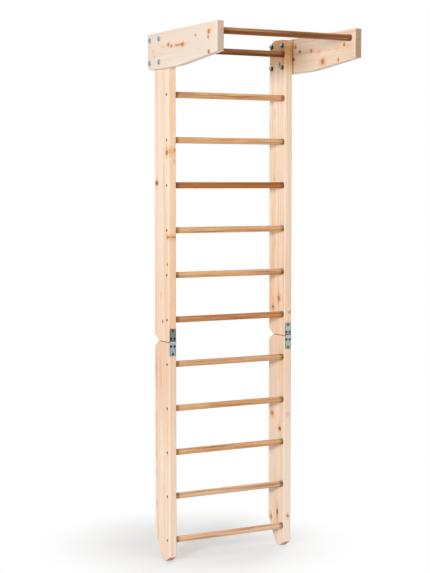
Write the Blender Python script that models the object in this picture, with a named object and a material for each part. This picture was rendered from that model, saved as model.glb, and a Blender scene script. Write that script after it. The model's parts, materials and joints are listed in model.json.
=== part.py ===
"""Folding wooden wall ladder with a pull-up bar, in metres, +Z up.

Two stiles carry round rungs in blind holes. Each stile is an upper and a lower board that meet
in a butt joint, with a strap hinge on the front edge. Two arms, bolted on the stiles' outer
faces, carry the pull-up bar. The climbing side is -Y. The origin is on the floor, midway between
the two sides, and midway from the arms' front ends to the stiles' backs. The lower half turns
forward and up about the hinge pins, until its front edges face those of the upper half.
"""

import math

import bmesh
import bpy
from mathutils import Matrix, Vector

# Clearance between pieces that touch or fit into each other
FIT_GAP = 0.0003
# How far a cutter runs past the face that it cuts
OVERCUT = 0.002

# Ladder: the rungs are evenly spaced, and the joint lies midway between two of them
RUNG_PITCH = 0.200
LOWER_RUNGS = 5
UPPER_RUNGS = 7
CLEAR_WIDTH = 0.560

# Stile boards
STILE_THICKNESS = 0.038
STILE_DEPTH = 0.145
JOINT_GAP = 0.0016
CORNER_DEPTH = 0.038
CORNER_HEIGHT = 0.025
FOOT_FLAT = 0.035
FOOT_TAPER_HEIGHT = 0.122
EDGE_EASE = 0.003

# Rungs
RUNG_DIAMETER = 0.028
RUNG_FRONT_WALL = 0.005
RUNG_END_WALL = 0.016
DOWEL_END_CHAMFER = 0.0015
DOWEL_SIDES = 20

# Arms
ARM_THICKNESS = 0.032
ARM_REACH = 0.520
ARM_NOSE_HEIGHT = 0.125
ARM_LEVEL_REACH = 0.160
ARM_HEEL_RADIUS = 0.018
ARM_BELLY_RADIUS = 0.800
ARC_STEPS = 5

# Pull-up bar and the screws that hold it from the arms' front ends
BAR_DIAMETER = 0.028
BAR_SETBACK = 0.040
BAR_DROP = 0.037
BAR_END_WALL = 0.010
BAR_SCREW_BITE = 0.008
BAR_SCREW_HEAD_DIAMETER = 0.0085
BAR_SCREW_SHANK_DIAMETER = 0.0045

# Carriage bolts through arm and stile: where they stand, and their sizes
BOLT_EDGE = 0.025
BOLT_ARM_EDGE = 0.029
BOLT_SPACING = 0.100
BOLT_ABOVE_TOP_RUNG = 0.041
BOLT_SHANK_DIAMETER = 0.0098
BOLT_NECK_STEP = 0.0004
BOLT_NECK_DEPTH = 0.006
BOLT_NECK_FLATS = 4
BOLT_HEAD_DIAMETER = 0.024
BOLT_HEAD_HEIGHT = 0.0055
BOLT_RIM = 0.001
BOLT_TIP_CHAMFER = 0.001
BOLT_SIDES = 16

# Cap nuts on those bolts
NUT_WALL = 0.0036
NUT_FLATS = 6
NUT_FLANGE_RIM = 0.001
NUT_FLANGE_THICKNESS = 0.002
NUT_HEX_HEIGHT = 0.007
NUT_DOME_STEP = 0.00075
NUT_DOME_HEIGHT = 0.007
NUT_DOME_WALL = 0.005
NUT_SIDES = 12
DOME_RINGS = 3

# Strap hinges: each leaf is a sheet rolled round the pin
HINGE_WIDTH = 0.030
LEAF_LENGTH = 0.061
LEAF_THICKNESS = 0.0018
LEAF_CORNER_RADIUS = 0.004
LEAF_NOTCH_CLEARANCE = 0.001
LEAF_ROLL = math.radians(285)
KNUCKLE_MIDDLE = 0.012
KNUCKLE_STEPS = 14
PIN_DIAMETER = 0.0048
PIN_END = 0.0008
PIN_SIDES = 16

# Hinge screws: one near the leaf's end, and a pair near the knuckle
HINGE_SCREW_TO_END = 0.009
HINGE_SCREW_TO_NOTCH = 0.012
HINGE_SCREW_TO_SIDE = 0.0063
HINGE_SCREW_LENGTH = 0.022
HINGE_SCREW_HEAD_DIAMETER = 0.0076
HINGE_SCREW_SHANK_DIAMETER = 0.0040
SCREW_TIP_LENGTH = 0.005
SCREW_TIP_DIAMETER = 0.001
SCREW_SIDES = 12

# Places that follow from the sizes above
JOINT_HEIGHT = LOWER_RUNGS * RUNG_PITCH
UPPER_LENGTH = (UPPER_RUNGS - 0.5) * RUNG_PITCH + BOLT_ABOVE_TOP_RUNG + BOLT_ARM_EDGE
ARM_HEIGHT = BOLT_SPACING + 2 * BOLT_ARM_EDGE
TOP_HEIGHT = JOINT_HEIGHT + UPPER_LENGTH
STILE_FRONT_Y = (ARM_REACH - STILE_DEPTH) / 2
STILE_INNER_X = CLEAR_WIDTH / 2
STILE_OUTER_X = STILE_INNER_X + STILE_THICKNESS
ARM_INNER_X = STILE_OUTER_X + FIT_GAP
ARM_OUTER_X = ARM_INNER_X + ARM_THICKNESS
RUNG_SETBACK = RUNG_FRONT_WALL + RUNG_DIAMETER / 2
RUNG_HOLE_DEPTH = STILE_THICKNESS - RUNG_END_WALL
BAR_HOLE_DEPTH = ARM_THICKNESS - BAR_END_WALL
BAR_SCREW_LENGTH = BAR_SETBACK + BAR_SCREW_BITE
BOLT_NECK_WIDTH = BOLT_SHANK_DIAMETER + 2 * BOLT_NECK_STEP
NUT_ACROSS_FLATS = BOLT_SHANK_DIAMETER + 2 * NUT_WALL
NUT_FLANGE_DIAMETER = NUT_ACROSS_FLATS / math.cos(math.pi / NUT_FLATS) + 2 * NUT_FLANGE_RIM
NUT_DOME_DIAMETER = NUT_ACROSS_FLATS - 2 * NUT_DOME_STEP
NUT_BORE_DEPTH = NUT_FLANGE_THICKNESS + NUT_HEX_HEIGHT + NUT_DOME_HEIGHT - NUT_DOME_WALL
BOLT_LENGTH = ARM_THICKNESS + STILE_THICKNESS + NUT_BORE_DEPTH + FIT_GAP
PIN_BORE_RADIUS = PIN_DIAMETER / 2 + FIT_GAP
KNUCKLE_RADIUS = PIN_BORE_RADIUS + LEAF_THICKNESS
HINGE_AXIS_Y = STILE_FRONT_Y - FIT_GAP - KNUCKLE_RADIUS
LEAF_NOTCH = KNUCKLE_RADIUS + LEAF_NOTCH_CLEARANCE

X_AXIS = Vector((1, 0, 0))
Y_AXIS = Vector((0, 1, 0))
Z_AXIS = Vector((0, 0, 1))
SIDES = (("left", -1), ("right", 1))
SMOOTH_ANGLE = math.radians(40)
EASED_ANGLE = math.radians(80)


def finish(name, colour, roughness, metallic):
    """A plain material with one colour, roughness and metallic value."""
    material = bpy.data.materials.new(name)
    material.use_nodes = True
    shader = material.node_tree.nodes["Principled BSDF"]
    shader.inputs["Base Color"].default_value = (*colour, 1)
    shader.inputs["Roughness"].default_value = roughness
    shader.inputs["Metallic"].default_value = metallic
    material.diffuse_color = (*colour, 1)
    return material


def section_empty(name, position):
    """An empty that carries one half of the ladder."""
    empty = bpy.data.objects.new(name, None)
    empty.location = position
    bpy.context.collection.objects.link(empty)
    return empty


def mesh_from(name, bm):
    """A mesh with its faces pointing out, smooth on round walls and sharp at edges."""
    bmesh.ops.recalc_face_normals(bm, faces=bm.faces)
    mesh = bpy.data.meshes.new(name)
    bm.to_mesh(mesh)
    bm.free()
    mesh.shade_smooth()
    mesh.set_sharp_from_angle(angle=SMOOTH_ANGLE)
    return mesh


def add_piece(name, mesh, material, section, position, direction=Z_AXIS):
    """One object on a half of the ladder, with its own +Z turned to the direction."""
    if not mesh.materials:
        mesh.materials.append(material)
    piece = bpy.data.objects.new(name, mesh)
    piece.parent = section
    piece.location = Vector(position) - section.location
    piece.rotation_mode = "QUATERNION"
    piece.rotation_quaternion = Z_AXIS.rotation_difference(direction)
    bpy.context.collection.objects.link(piece)
    return piece


def ease_edges(piece):
    """Breaks a board's long edges and square corners with a small flat."""
    bevel = piece.modifiers.new("eased edges", "BEVEL")
    bevel.width = EDGE_EASE
    bevel.segments = 1
    bevel.limit_method = "ANGLE"
    bevel.angle_limit = EASED_ANGLE


def cut_from(piece, bm):
    """Cuts the closed shapes in bm, which is in the piece's own frame, from the piece."""
    cutter = bpy.data.objects.new(piece.name + "_cutter", mesh_from(piece.name + "_cutter", bm))
    cutter.parent = piece.parent
    cutter.location = piece.location
    cutter.rotation_mode = "QUATERNION"
    cutter.rotation_quaternion = piece.rotation_quaternion
    cutter.hide_render = True
    cutter.display_type = "WIRE"
    bpy.context.collection.objects.link(cutter)
    boolean = piece.modifiers.new("holes", "BOOLEAN")
    boolean.operation = "DIFFERENCE"
    boolean.solver = "EXACT"
    boolean.object = cutter


def ring(bm, sides, height, radius, flats=0):
    """One ring of points about +Z: round, or with a number of flats that lie radius from the axis."""
    points = []
    for index in range(sides):
        angle = 2 * math.pi * index / sides
        reach = radius
        if flats:
            sector = 2 * math.pi / flats
            from_flat = (angle + sector / 2) % sector - sector / 2
            reach = radius / math.cos(from_flat)
        points.append(bm.verts.new((reach * math.cos(angle), reach * math.sin(angle), height)))
    return points


def add_turned(bm, sections, sides, position=(0, 0, 0), direction=Z_AXIS):
    """Adds a closed solid of stacked rings, given as (height, radius) or (height, radius, flats).

    A radius of 0 closes that end in a point. The solid is then turned and moved to its place.
    """
    rings = [
        [bm.verts.new((0, 0, section[0]))] if section[1] == 0 else ring(bm, sides, *section)
        for section in sections
    ]
    for low, high in zip(rings, rings[1:]):
        for index in range(sides):
            after = (index + 1) % sides
            corners = (
                low[index % len(low)],
                low[after % len(low)],
                high[after % len(high)],
                high[index % len(high)],
            )
            bm.faces.new(dict.fromkeys(corners))
    for end in (rings[0], rings[-1]):
        if len(end) > 1:
            bm.faces.new(end)
    turn = Z_AXIS.rotation_difference(direction).to_matrix().to_4x4()
    points = [point for points in rings for point in points]
    bmesh.ops.transform(bm, matrix=Matrix.Translation(position) @ turn, verts=points)


def turned(name, sections, sides):
    """A mesh of one solid of stacked rings."""
    bm = bmesh.new()
    add_turned(bm, sections, sides)
    return mesh_from(name, bm)


def rounded_outline(corners):
    """The outline through corners (u, v, radius), with an arc wherever the radius isn't 0."""
    outline = []
    for index, (u, v, radius) in enumerate(corners):
        corner = Vector((u, v))
        if not radius:
            outline.append(corner)
            continue
        before = (Vector(corners[index - 1][:2]) - corner).normalized()
        after = (Vector(corners[(index + 1) % len(corners)][:2]) - corner).normalized()
        half = before.angle(after) / 2
        centre = corner + (before + after).normalized() * radius / math.sin(half)
        middle = math.atan2(*reversed(corner - centre))
        sweep = math.copysign(math.pi / 2 - half, before.y * after.x - before.x * after.y)
        for step in range(ARC_STEPS + 1):
            angle = middle + sweep * (2 * step / ARC_STEPS - 1)
            outline.append(centre + radius * Vector((math.cos(angle), math.sin(angle))))
    return outline


def slab(outline, thickness, u_axis, v_axis):
    """A closed plate of even thickness, centred on the plane of its outline."""
    bm = bmesh.new()
    through = u_axis.cross(v_axis) * thickness
    face = bm.faces.new([bm.verts.new(u_axis * u + v_axis * v - through / 2) for u, v in outline])
    made = bmesh.ops.extrude_face_region(bm, geom=[face])["geom"]
    moved = [element for element in made if isinstance(element, bmesh.types.BMVert)]
    bmesh.ops.translate(bm, verts=moved, vec=through)
    return bm


def sharp(points):
    """Corners with no radius."""
    return [(u, v, 0) for u, v in points]


def dome(base_height, radius, height):
    """Sections of a round cap that rises from a ring to a point."""
    sections = []
    for index in range(1, DOME_RINGS):
        angle = math.pi / 2 * index / DOME_RINGS
        sections.append((base_height + height * math.sin(angle), radius * math.cos(angle)))
    sections.append((base_height + height, 0))
    return sections


def dowel(length, radius, chamfer):
    """Sections of a round rod, centred, with chamfered ends."""
    half = length / 2
    return [
        (-half, radius - chamfer),
        (-half + chamfer, radius),
        (half - chamfer, radius),
        (half, radius - chamfer),
    ]


def screw(head_diameter, shank_diameter, length, gap=0.0, above=0.0):
    """Sections of a countersunk screw that points down, with its head's top at height 0.

    With a gap it is the hole for that screw, and above is how far the hole runs out of the face.
    """
    head = head_diameter / 2 + gap
    shank = shank_diameter / 2 + gap
    tip = SCREW_TIP_DIAMETER / 2 + gap
    sections = [
        (-length - gap, tip),
        (SCREW_TIP_LENGTH - length, shank),
        (shank - head, shank),
        (0, head),
    ]
    if above:
        sections.append((above, head))
    return sections


def rung_heights():
    """Heights of the rung axes above the floor."""
    return [(index + 0.5) * RUNG_PITCH for index in range(LOWER_RUNGS + UPPER_RUNGS)]


def bolt_places():
    """(y, z) of the four bolts through each arm and stile."""
    front = STILE_FRONT_Y + BOLT_EDGE
    back = STILE_FRONT_Y + STILE_DEPTH - BOLT_EDGE
    high = TOP_HEIGHT - BOLT_ARM_EDGE
    low = TOP_HEIGHT - ARM_HEIGHT + BOLT_ARM_EDGE
    return [(front, high), (back, high), (front, low), (back, low)]


def hinge_screw_places(up):
    """(x, z) of a leaf's screws from the hinge's middle, with up 1 for the upper leaf."""
    out = HINGE_WIDTH / 2 - HINGE_SCREW_TO_SIDE
    far = up * (LEAF_LENGTH - HINGE_SCREW_TO_END)
    near = up * (LEAF_NOTCH + HINGE_SCREW_TO_NOTCH)
    return [(0, far), (-out, near), (out, near)]


def hinge_screw_hole():
    """Sections of the hole for a hinge screw, from the leaf's front face."""
    return screw(
        HINGE_SCREW_HEAD_DIAMETER, HINGE_SCREW_SHANK_DIAMETER, HINGE_SCREW_LENGTH, FIT_GAP, OVERCUT
    )


def bar_screw_hole():
    """Sections of the hole for a bar screw, from the arm's front end."""
    return screw(
        BAR_SCREW_HEAD_DIAMETER, BAR_SCREW_SHANK_DIAMETER, BAR_SCREW_LENGTH, FIT_GAP, OVERCUT
    )


def bar_screw_x(side):
    """The bar screw stands in the middle of the bar's end in its blind hole."""
    return side * (ARM_INNER_X + BAR_HOLE_DEPTH / 2)


def upper_stile_outline():
    """(y, z) from the front edge at the joint: chamfered at both top corners and behind the joint."""
    foot = JOINT_GAP / 2
    return sharp(
        [
            (0, foot),
            (STILE_DEPTH - CORNER_DEPTH, foot),
            (STILE_DEPTH, foot + CORNER_HEIGHT),
            (STILE_DEPTH, UPPER_LENGTH - CORNER_HEIGHT),
            (STILE_DEPTH - CORNER_DEPTH, UPPER_LENGTH),
            (CORNER_DEPTH, UPPER_LENGTH),
            (0, UPPER_LENGTH - CORNER_HEIGHT),
        ]
    )


def lower_stile_outline():
    """(y, z) from the front edge at the joint: chamfered behind the joint, with a tapered foot."""
    head = -JOINT_GAP / 2
    floor = -JOINT_HEIGHT
    return sharp(
        [
            (0, head),
            (STILE_DEPTH - CORNER_DEPTH, head),
            (STILE_DEPTH, head - CORNER_HEIGHT),
            (STILE_DEPTH, floor + FOOT_TAPER_HEIGHT),
            (CORNER_DEPTH + FOOT_FLAT, floor),
            (CORNER_DEPTH, floor),
            (0, floor + CORNER_HEIGHT),
        ]
    )


def add_stile(name, side, outline, heights, up, bolted, material, section):
    """A stile board with its blind rung holes, pilot holes for the hinge and any bolt holes."""
    board = mesh_from(name, slab(rounded_outline(outline), STILE_THICKNESS, Y_AXIS, Z_AXIS))
    middle_x = side * (STILE_INNER_X + STILE_THICKNESS / 2)
    stile = add_piece(name, board, material, section, (middle_x, STILE_FRONT_Y, JOINT_HEIGHT))
    ease_edges(stile)
    holes = bmesh.new()
    inner_x = -side * STILE_THICKNESS / 2
    rung_hole = [
        (-OVERCUT, RUNG_DIAMETER / 2 + FIT_GAP),
        (RUNG_HOLE_DEPTH, RUNG_DIAMETER / 2 + FIT_GAP),
    ]
    for height in heights:
        place = (inner_x, RUNG_SETBACK, height - JOINT_HEIGHT)
        add_turned(holes, rung_hole, DOWEL_SIDES, place, side * X_AXIS)
    leaf_front = -FIT_GAP - LEAF_THICKNESS
    for x, z in hinge_screw_places(up):
        add_turned(holes, hinge_screw_hole(), SCREW_SIDES, (x, leaf_front, z), -Y_AXIS)
    bolt_hole = [
        (-OVERCUT, BOLT_SHANK_DIAMETER / 2 + FIT_GAP),
        (STILE_THICKNESS + OVERCUT, BOLT_SHANK_DIAMETER / 2 + FIT_GAP),
    ]
    for y, z in bolt_places() if bolted else []:
        place = (inner_x, y - STILE_FRONT_Y, z - JOINT_HEIGHT)
        add_turned(holes, bolt_hole, BOLT_SIDES, place, side * X_AXIS)
    cut_from(stile, holes)


def arm_outline():
    """(y, z) from the stile's front edge at the top: level underside, then a taper to the front."""
    return [
        (STILE_DEPTH, 0, 0),
        (-ARM_REACH, 0, 0),
        (-ARM_REACH, -ARM_NOSE_HEIGHT, 0),
        (-ARM_LEVEL_REACH, -ARM_HEIGHT, ARM_BELLY_RADIUS),
        (STILE_DEPTH, -ARM_HEIGHT, ARM_HEEL_RADIUS),
    ]


def add_arm(name, side, material, section):
    """An arm with its bolt holes, the blind hole for the bar and the hole for the bar screw."""
    board = mesh_from(name, slab(rounded_outline(arm_outline()), ARM_THICKNESS, Y_AXIS, Z_AXIS))
    middle_x = side * (ARM_INNER_X + ARM_THICKNESS / 2)
    arm = add_piece(name, board, material, section, (middle_x, STILE_FRONT_Y, TOP_HEIGHT))
    ease_edges(arm)
    holes = bmesh.new()
    neck = BOLT_NECK_WIDTH / 2 + FIT_GAP
    neck_end = -BOLT_NECK_DEPTH - FIT_GAP
    shank = BOLT_SHANK_DIAMETER / 2 + FIT_GAP
    bolt_hole = [
        (-ARM_THICKNESS - OVERCUT, shank),
        (neck_end, shank),
        (neck_end, neck, BOLT_NECK_FLATS),
        (OVERCUT, neck, BOLT_NECK_FLATS),
    ]
    for y, z in bolt_places():
        place = (side * ARM_THICKNESS / 2, y - STILE_FRONT_Y, z - TOP_HEIGHT)
        add_turned(holes, bolt_hole, BOLT_SIDES, place, side * X_AXIS)
    cut_from(arm, holes)
    bar_hole = [
        (-OVERCUT, BAR_DIAMETER / 2 + FIT_GAP),
        (BAR_HOLE_DEPTH, BAR_DIAMETER / 2 + FIT_GAP),
    ]
    socket = bmesh.new()
    place = (-side * ARM_THICKNESS / 2, BAR_SETBACK - ARM_REACH, -BAR_DROP)
    add_turned(socket, bar_hole, DOWEL_SIDES, place, side * X_AXIS)
    cut_from(arm, socket)
    pilot = bmesh.new()
    place = (bar_screw_x(side) - middle_x, -ARM_REACH, -BAR_DROP)
    add_turned(pilot, bar_screw_hole(), SCREW_SIDES, place, -Y_AXIS)
    cut_from(arm, pilot)


def add_rungs(material, lower, upper):
    """The rungs, numbered from the floor up."""
    length = CLEAR_WIDTH + 2 * (RUNG_HOLE_DEPTH - FIT_GAP)
    rung = turned("rung", dowel(length, RUNG_DIAMETER / 2, DOWEL_END_CHAMFER), DOWEL_SIDES)
    for number, height in enumerate(rung_heights(), start=1):
        section = lower if number <= LOWER_RUNGS else upper
        place = (0, STILE_FRONT_Y + RUNG_SETBACK, height)
        add_piece(f"rung_{number:02}", rung, material, section, place, X_AXIS)


def add_bar(material, screw_material, section):
    """The pull-up bar, and the screw into each of its ends."""
    bar_y = STILE_FRONT_Y - ARM_REACH + BAR_SETBACK
    bar_z = TOP_HEIGHT - BAR_DROP
    length = 2 * (ARM_INNER_X + BAR_HOLE_DEPTH - FIT_GAP)
    rod = turned("pull_up_bar", dowel(length, BAR_DIAMETER / 2, DOWEL_END_CHAMFER), DOWEL_SIDES)
    bar = add_piece("pull_up_bar", rod, material, section, (0, bar_y, bar_z), X_AXIS)
    pilots = bmesh.new()
    into_bar = Z_AXIS.rotation_difference(X_AXIS).inverted()
    for _, side in SIDES:
        place = into_bar @ Vector((bar_screw_x(side), -BAR_SETBACK, 0))
        add_turned(pilots, bar_screw_hole(), SCREW_SIDES, place, into_bar @ -Y_AXIS)
    cut_from(bar, pilots)
    sections = screw(BAR_SCREW_HEAD_DIAMETER, BAR_SCREW_SHANK_DIAMETER, BAR_SCREW_LENGTH)
    bar_screw = turned("bar_screw", sections, SCREW_SIDES)
    for name, side in SIDES:
        place = (bar_screw_x(side), STILE_FRONT_Y - ARM_REACH, bar_z)
        add_piece(f"{name}_bar_screw", bar_screw, screw_material, section, place, -Y_AXIS)


def bolt_sections():
    """A carriage bolt that points down, with the arm's outer face at height 0."""
    shank = BOLT_SHANK_DIAMETER / 2
    neck = BOLT_NECK_WIDTH / 2
    head = BOLT_HEAD_DIAMETER / 2
    return [
        (-BOLT_LENGTH, shank - BOLT_TIP_CHAMFER),
        (BOLT_TIP_CHAMFER - BOLT_LENGTH, shank),
        (-BOLT_NECK_DEPTH, shank),
        (-BOLT_NECK_DEPTH, neck, BOLT_NECK_FLATS),
        (FIT_GAP, neck, BOLT_NECK_FLATS),
        (FIT_GAP, head),
        (FIT_GAP + BOLT_RIM, head),
        *dome(FIT_GAP + BOLT_RIM, head, BOLT_HEAD_HEIGHT - BOLT_RIM),
    ]


def nut_sections():
    """A cap nut that stands up from the stile's inner face at height 0, open below for the bolt."""
    bore = BOLT_SHANK_DIAMETER / 2 + FIT_GAP
    flange_top = FIT_GAP + NUT_FLANGE_THICKNESS
    hex_top = flange_top + NUT_HEX_HEIGHT
    return [
        (FIT_GAP + NUT_BORE_DEPTH, 0),
        (FIT_GAP + NUT_BORE_DEPTH, bore),
        (FIT_GAP, bore),
        (FIT_GAP, NUT_FLANGE_DIAMETER / 2),
        (flange_top, NUT_FLANGE_DIAMETER / 2),
        (flange_top, NUT_ACROSS_FLATS / 2, NUT_FLATS),
        (hex_top, NUT_ACROSS_FLATS / 2, NUT_FLATS),
        (hex_top, NUT_DOME_DIAMETER / 2),
        *dome(hex_top, NUT_DOME_DIAMETER / 2, NUT_DOME_HEIGHT),
    ]


def add_bolts(material, section):
    """The carriage bolts, heads outside, and the cap nuts on the stiles' inner faces."""
    bolt = turned("arm_bolt", bolt_sections(), BOLT_SIDES)
    nut = turned("cap_nut", nut_sections(), NUT_SIDES)
    for name, side in SIDES:
        for number, (y, z) in enumerate(bolt_places(), start=1):
            outside = (side * ARM_OUTER_X, y, z)
            inside = (side * STILE_INNER_X, y, z)
            add_piece(f"{name}_arm_bolt_{number}", bolt, material, section, outside, side * X_AXIS)
            add_piece(f"{name}_cap_nut_{number}", nut, material, section, inside, -side * X_AXIS)


def leaf_outline(up):
    """(x, z) of a flat leaf: the upper one has the two outer knuckles, the lower one the middle."""
    half = HINGE_WIDTH / 2
    middle = KNUCKLE_MIDDLE / 2
    end = up * LEAF_LENGTH
    outer, inner = 0, up * LEAF_NOTCH
    if up < 0:
        outer, inner = inner, outer
    else:
        middle += FIT_GAP
    left = [(-half, outer), (-middle, outer), (-middle, inner)]
    right = [(middle, inner), (middle, outer), (half, outer)]
    far_end = [(half, end, LEAF_CORNER_RADIUS), (-half, end, LEAF_CORNER_RADIUS)]
    return sharp(left + right) + far_end


def add_leaf(name, side, up, material, section):
    """A hinge leaf: a flat sheet whose tongues are rolled round the pin, drilled for its screws."""
    bm = slab(rounded_outline(leaf_outline(up)), LEAF_THICKNESS, X_AXIS, Z_AXIS)
    sheet_y = KNUCKLE_RADIUS - LEAF_THICKNESS / 2
    bmesh.ops.translate(bm, verts=bm.verts, vec=(0, sheet_y, 0))
    bmesh.ops.recalc_face_normals(bm, faces=bm.faces)
    tongues = [face for face in bm.faces if all(abs(vert.co.z) < FIT_GAP for vert in face.verts)]
    turn = Matrix.Rotation(-up * LEAF_ROLL / KNUCKLE_STEPS, 3, X_AXIS)
    for tongue in tongues:
        for _ in range(KNUCKLE_STEPS):
            tongue = bmesh.ops.extrude_discrete_faces(bm, faces=[tongue])["faces"][0]
            bmesh.ops.rotate(bm, verts=tongue.verts, cent=(0, 0, 0), matrix=turn)
    hinge_x = side * (STILE_INNER_X + STILE_THICKNESS / 2)
    place = (hinge_x, HINGE_AXIS_Y, JOINT_HEIGHT)
    leaf = add_piece(name, mesh_from(name, bm), material, section, place)
    holes = bmesh.new()
    for x, z in hinge_screw_places(up):
        add_turned(holes, hinge_screw_hole(), SCREW_SIDES, (x, PIN_BORE_RADIUS, z), -Y_AXIS)
    cut_from(leaf, holes)


def add_hinges(material, screw_material, lower, upper):
    """Both hinges, each with two leaves, a pin and six screws."""
    pin = turned("hinge_pin", dowel(HINGE_WIDTH + 2 * PIN_END, PIN_DIAMETER / 2, PIN_END), PIN_SIDES)
    sections = screw(HINGE_SCREW_HEAD_DIAMETER, HINGE_SCREW_SHANK_DIAMETER, HINGE_SCREW_LENGTH)
    hinge_screw = turned("hinge_screw", sections, SCREW_SIDES)
    screw_y = HINGE_AXIS_Y + PIN_BORE_RADIUS
    for name, side in SIDES:
        hinge_x = side * (STILE_INNER_X + STILE_THICKNESS / 2)
        place = (hinge_x, HINGE_AXIS_Y, JOINT_HEIGHT)
        add_piece(f"{name}_hinge_pin", pin, material, upper, place, X_AXIS)
        for half, up, section in (("upper", 1, upper), ("lower", -1, lower)):
            add_leaf(f"{name}_hinge_{half}_leaf", side, up, material, section)
            for number, (x, z) in enumerate(hinge_screw_places(up), start=1):
                place = (hinge_x + x, screw_y, JOINT_HEIGHT + z)
                screw_name = f"{name}_hinge_{half}_screw_{number}"
                add_piece(screw_name, hinge_screw, screw_material, section, place, -Y_AXIS)


def main():
    for stale in list(bpy.data.objects):
        bpy.data.objects.remove(stale)
    spruce = finish("pale_spruce", (0.82, 0.62, 0.42), 0.55, 0.0)
    oiled = finish("oiled_brown_wood", (0.42, 0.20, 0.08), 0.45, 0.0)
    zinc = finish("blue_zinc", (0.55, 0.62, 0.64), 0.35, 0.9)
    dark_steel = finish("dark_steel", (0.10, 0.10, 0.09), 0.45, 0.8)

    hinge_axis = (0, HINGE_AXIS_Y, JOINT_HEIGHT)
    upper = section_empty("upper_section", hinge_axis)
    lower = section_empty("lower_section", hinge_axis)
    heights = rung_heights()
    for name, side in SIDES:
        add_stile(
            f"{name}_upper_stile", side, upper_stile_outline(), heights[LOWER_RUNGS:],
            1, True, spruce, upper,
        )
        add_stile(
            f"{name}_lower_stile", side, lower_stile_outline(), heights[:LOWER_RUNGS],
            -1, False, spruce, lower,
        )
        add_arm(f"{name}_arm", side, spruce, upper)
    add_rungs(oiled, lower, upper)
    add_bar(oiled, dark_steel, upper)
    add_bolts(zinc, upper)
    add_hinges(zinc, dark_steel, lower, upper)


main()
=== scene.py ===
"""Looks of a folding wall ladder with a pull-up bar: knotty spruce boards, oiled rungs, zinc hardware.

The file is laid out as a Blender add-on. Run as a script it dresses the ladder's solids, one
operator for each group of pieces, and sets up the floor, the light and the camera.
"""

import contextlib
import functools
import json
import math
import random
from collections import defaultdict, namedtuple

import bmesh
import bpy
from bpy.props import FloatProperty, FloatVectorProperty, PointerProperty
from mathutils import Euler, Matrix, Vector

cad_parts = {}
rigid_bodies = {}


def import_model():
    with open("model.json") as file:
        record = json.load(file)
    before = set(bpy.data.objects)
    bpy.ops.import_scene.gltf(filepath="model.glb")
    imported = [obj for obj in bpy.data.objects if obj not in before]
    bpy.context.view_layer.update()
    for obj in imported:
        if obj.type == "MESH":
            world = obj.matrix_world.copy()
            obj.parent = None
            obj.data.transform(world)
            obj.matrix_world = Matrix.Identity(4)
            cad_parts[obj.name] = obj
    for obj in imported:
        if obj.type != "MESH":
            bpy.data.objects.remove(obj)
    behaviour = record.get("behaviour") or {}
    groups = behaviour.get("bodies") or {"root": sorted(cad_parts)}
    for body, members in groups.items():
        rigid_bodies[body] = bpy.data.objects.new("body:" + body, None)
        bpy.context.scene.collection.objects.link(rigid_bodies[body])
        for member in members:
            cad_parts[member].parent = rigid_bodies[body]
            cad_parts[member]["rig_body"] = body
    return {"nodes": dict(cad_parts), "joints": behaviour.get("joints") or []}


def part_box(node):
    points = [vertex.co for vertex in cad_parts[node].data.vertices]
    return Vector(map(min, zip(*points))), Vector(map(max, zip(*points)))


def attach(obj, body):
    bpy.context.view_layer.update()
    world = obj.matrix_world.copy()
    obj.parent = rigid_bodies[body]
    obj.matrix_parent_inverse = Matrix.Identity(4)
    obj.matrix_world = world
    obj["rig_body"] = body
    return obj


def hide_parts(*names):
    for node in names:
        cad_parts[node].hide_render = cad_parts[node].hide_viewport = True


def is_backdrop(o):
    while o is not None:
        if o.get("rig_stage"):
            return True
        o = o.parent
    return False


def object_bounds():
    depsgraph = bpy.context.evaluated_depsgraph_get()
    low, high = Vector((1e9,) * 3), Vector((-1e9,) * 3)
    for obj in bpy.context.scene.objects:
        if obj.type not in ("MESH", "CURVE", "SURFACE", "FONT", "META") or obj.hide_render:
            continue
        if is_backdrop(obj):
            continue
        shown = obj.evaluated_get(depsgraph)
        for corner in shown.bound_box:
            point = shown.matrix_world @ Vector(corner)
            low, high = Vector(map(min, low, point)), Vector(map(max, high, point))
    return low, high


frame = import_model()
cad_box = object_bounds()

bl_info = {
    "name": "Folding wall ladder",
    "version": (1, 0, 0),
    "blender": (4, 5, 0),
    "location": "View3D > Sidebar > Ladder",
    "description": "Boards, rungs, hardware and stage of a folding wall ladder with a pull-up bar",
    "category": "Object",
}

X_AXIS = Vector((1, 0, 0))
Y_AXIS = Vector((0, 1, 0))
Z_AXIS = Vector((0, 0, 1))
EVENLY = Vector((1, 1, 1))
SIDES = (("left", -1), ("right", 1))
HALVES = (("upper", 1), ("lower", -1))

# Places and sizes that the solids give
RUNGS = sorted(name for name in frame["nodes"] if name.startswith("rung_"))
STILE_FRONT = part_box("left_upper_stile")[0].y
HINGE_AXIS = Vector(frame["joints"][0]["pos_m"])
LEAF_LOW, LEAF_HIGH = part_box("right_hinge_upper_leaf")
PIN_LOW, PIN_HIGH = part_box("right_hinge_pin")
BOLT_LOW, BOLT_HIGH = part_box("right_arm_bolt_1")
NUT_LOW, NUT_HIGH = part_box("right_cap_nut_1")
ARM_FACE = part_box("right_arm")[1].x
HINGE_SCREW_LOW, HINGE_SCREW_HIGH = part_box("right_hinge_upper_screw_1")
BAR_SCREW_LOW, BAR_SCREW_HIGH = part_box("right_bar_screw")

# How many sides and steps make a piece round
FINE_SIDES = 64
SMALL_SIDES = 40
HEX_SIDES = 6
ARC_STEPS = 8
EASE_STEPS = 4
# How far a cutter runs past a face, and how far a piece stays clear of the one that it fits
OVERCUT = 0.002
FIT_GAP = 0.0003
# Edges sharper than these are eased on solid pieces, eased on sheet metal, and shaded as edges
SHARP_ANGLE = math.radians(20)
SHEET_ANGLE = math.radians(60)
SMOOTH_ANGLE = math.radians(35)

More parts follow.
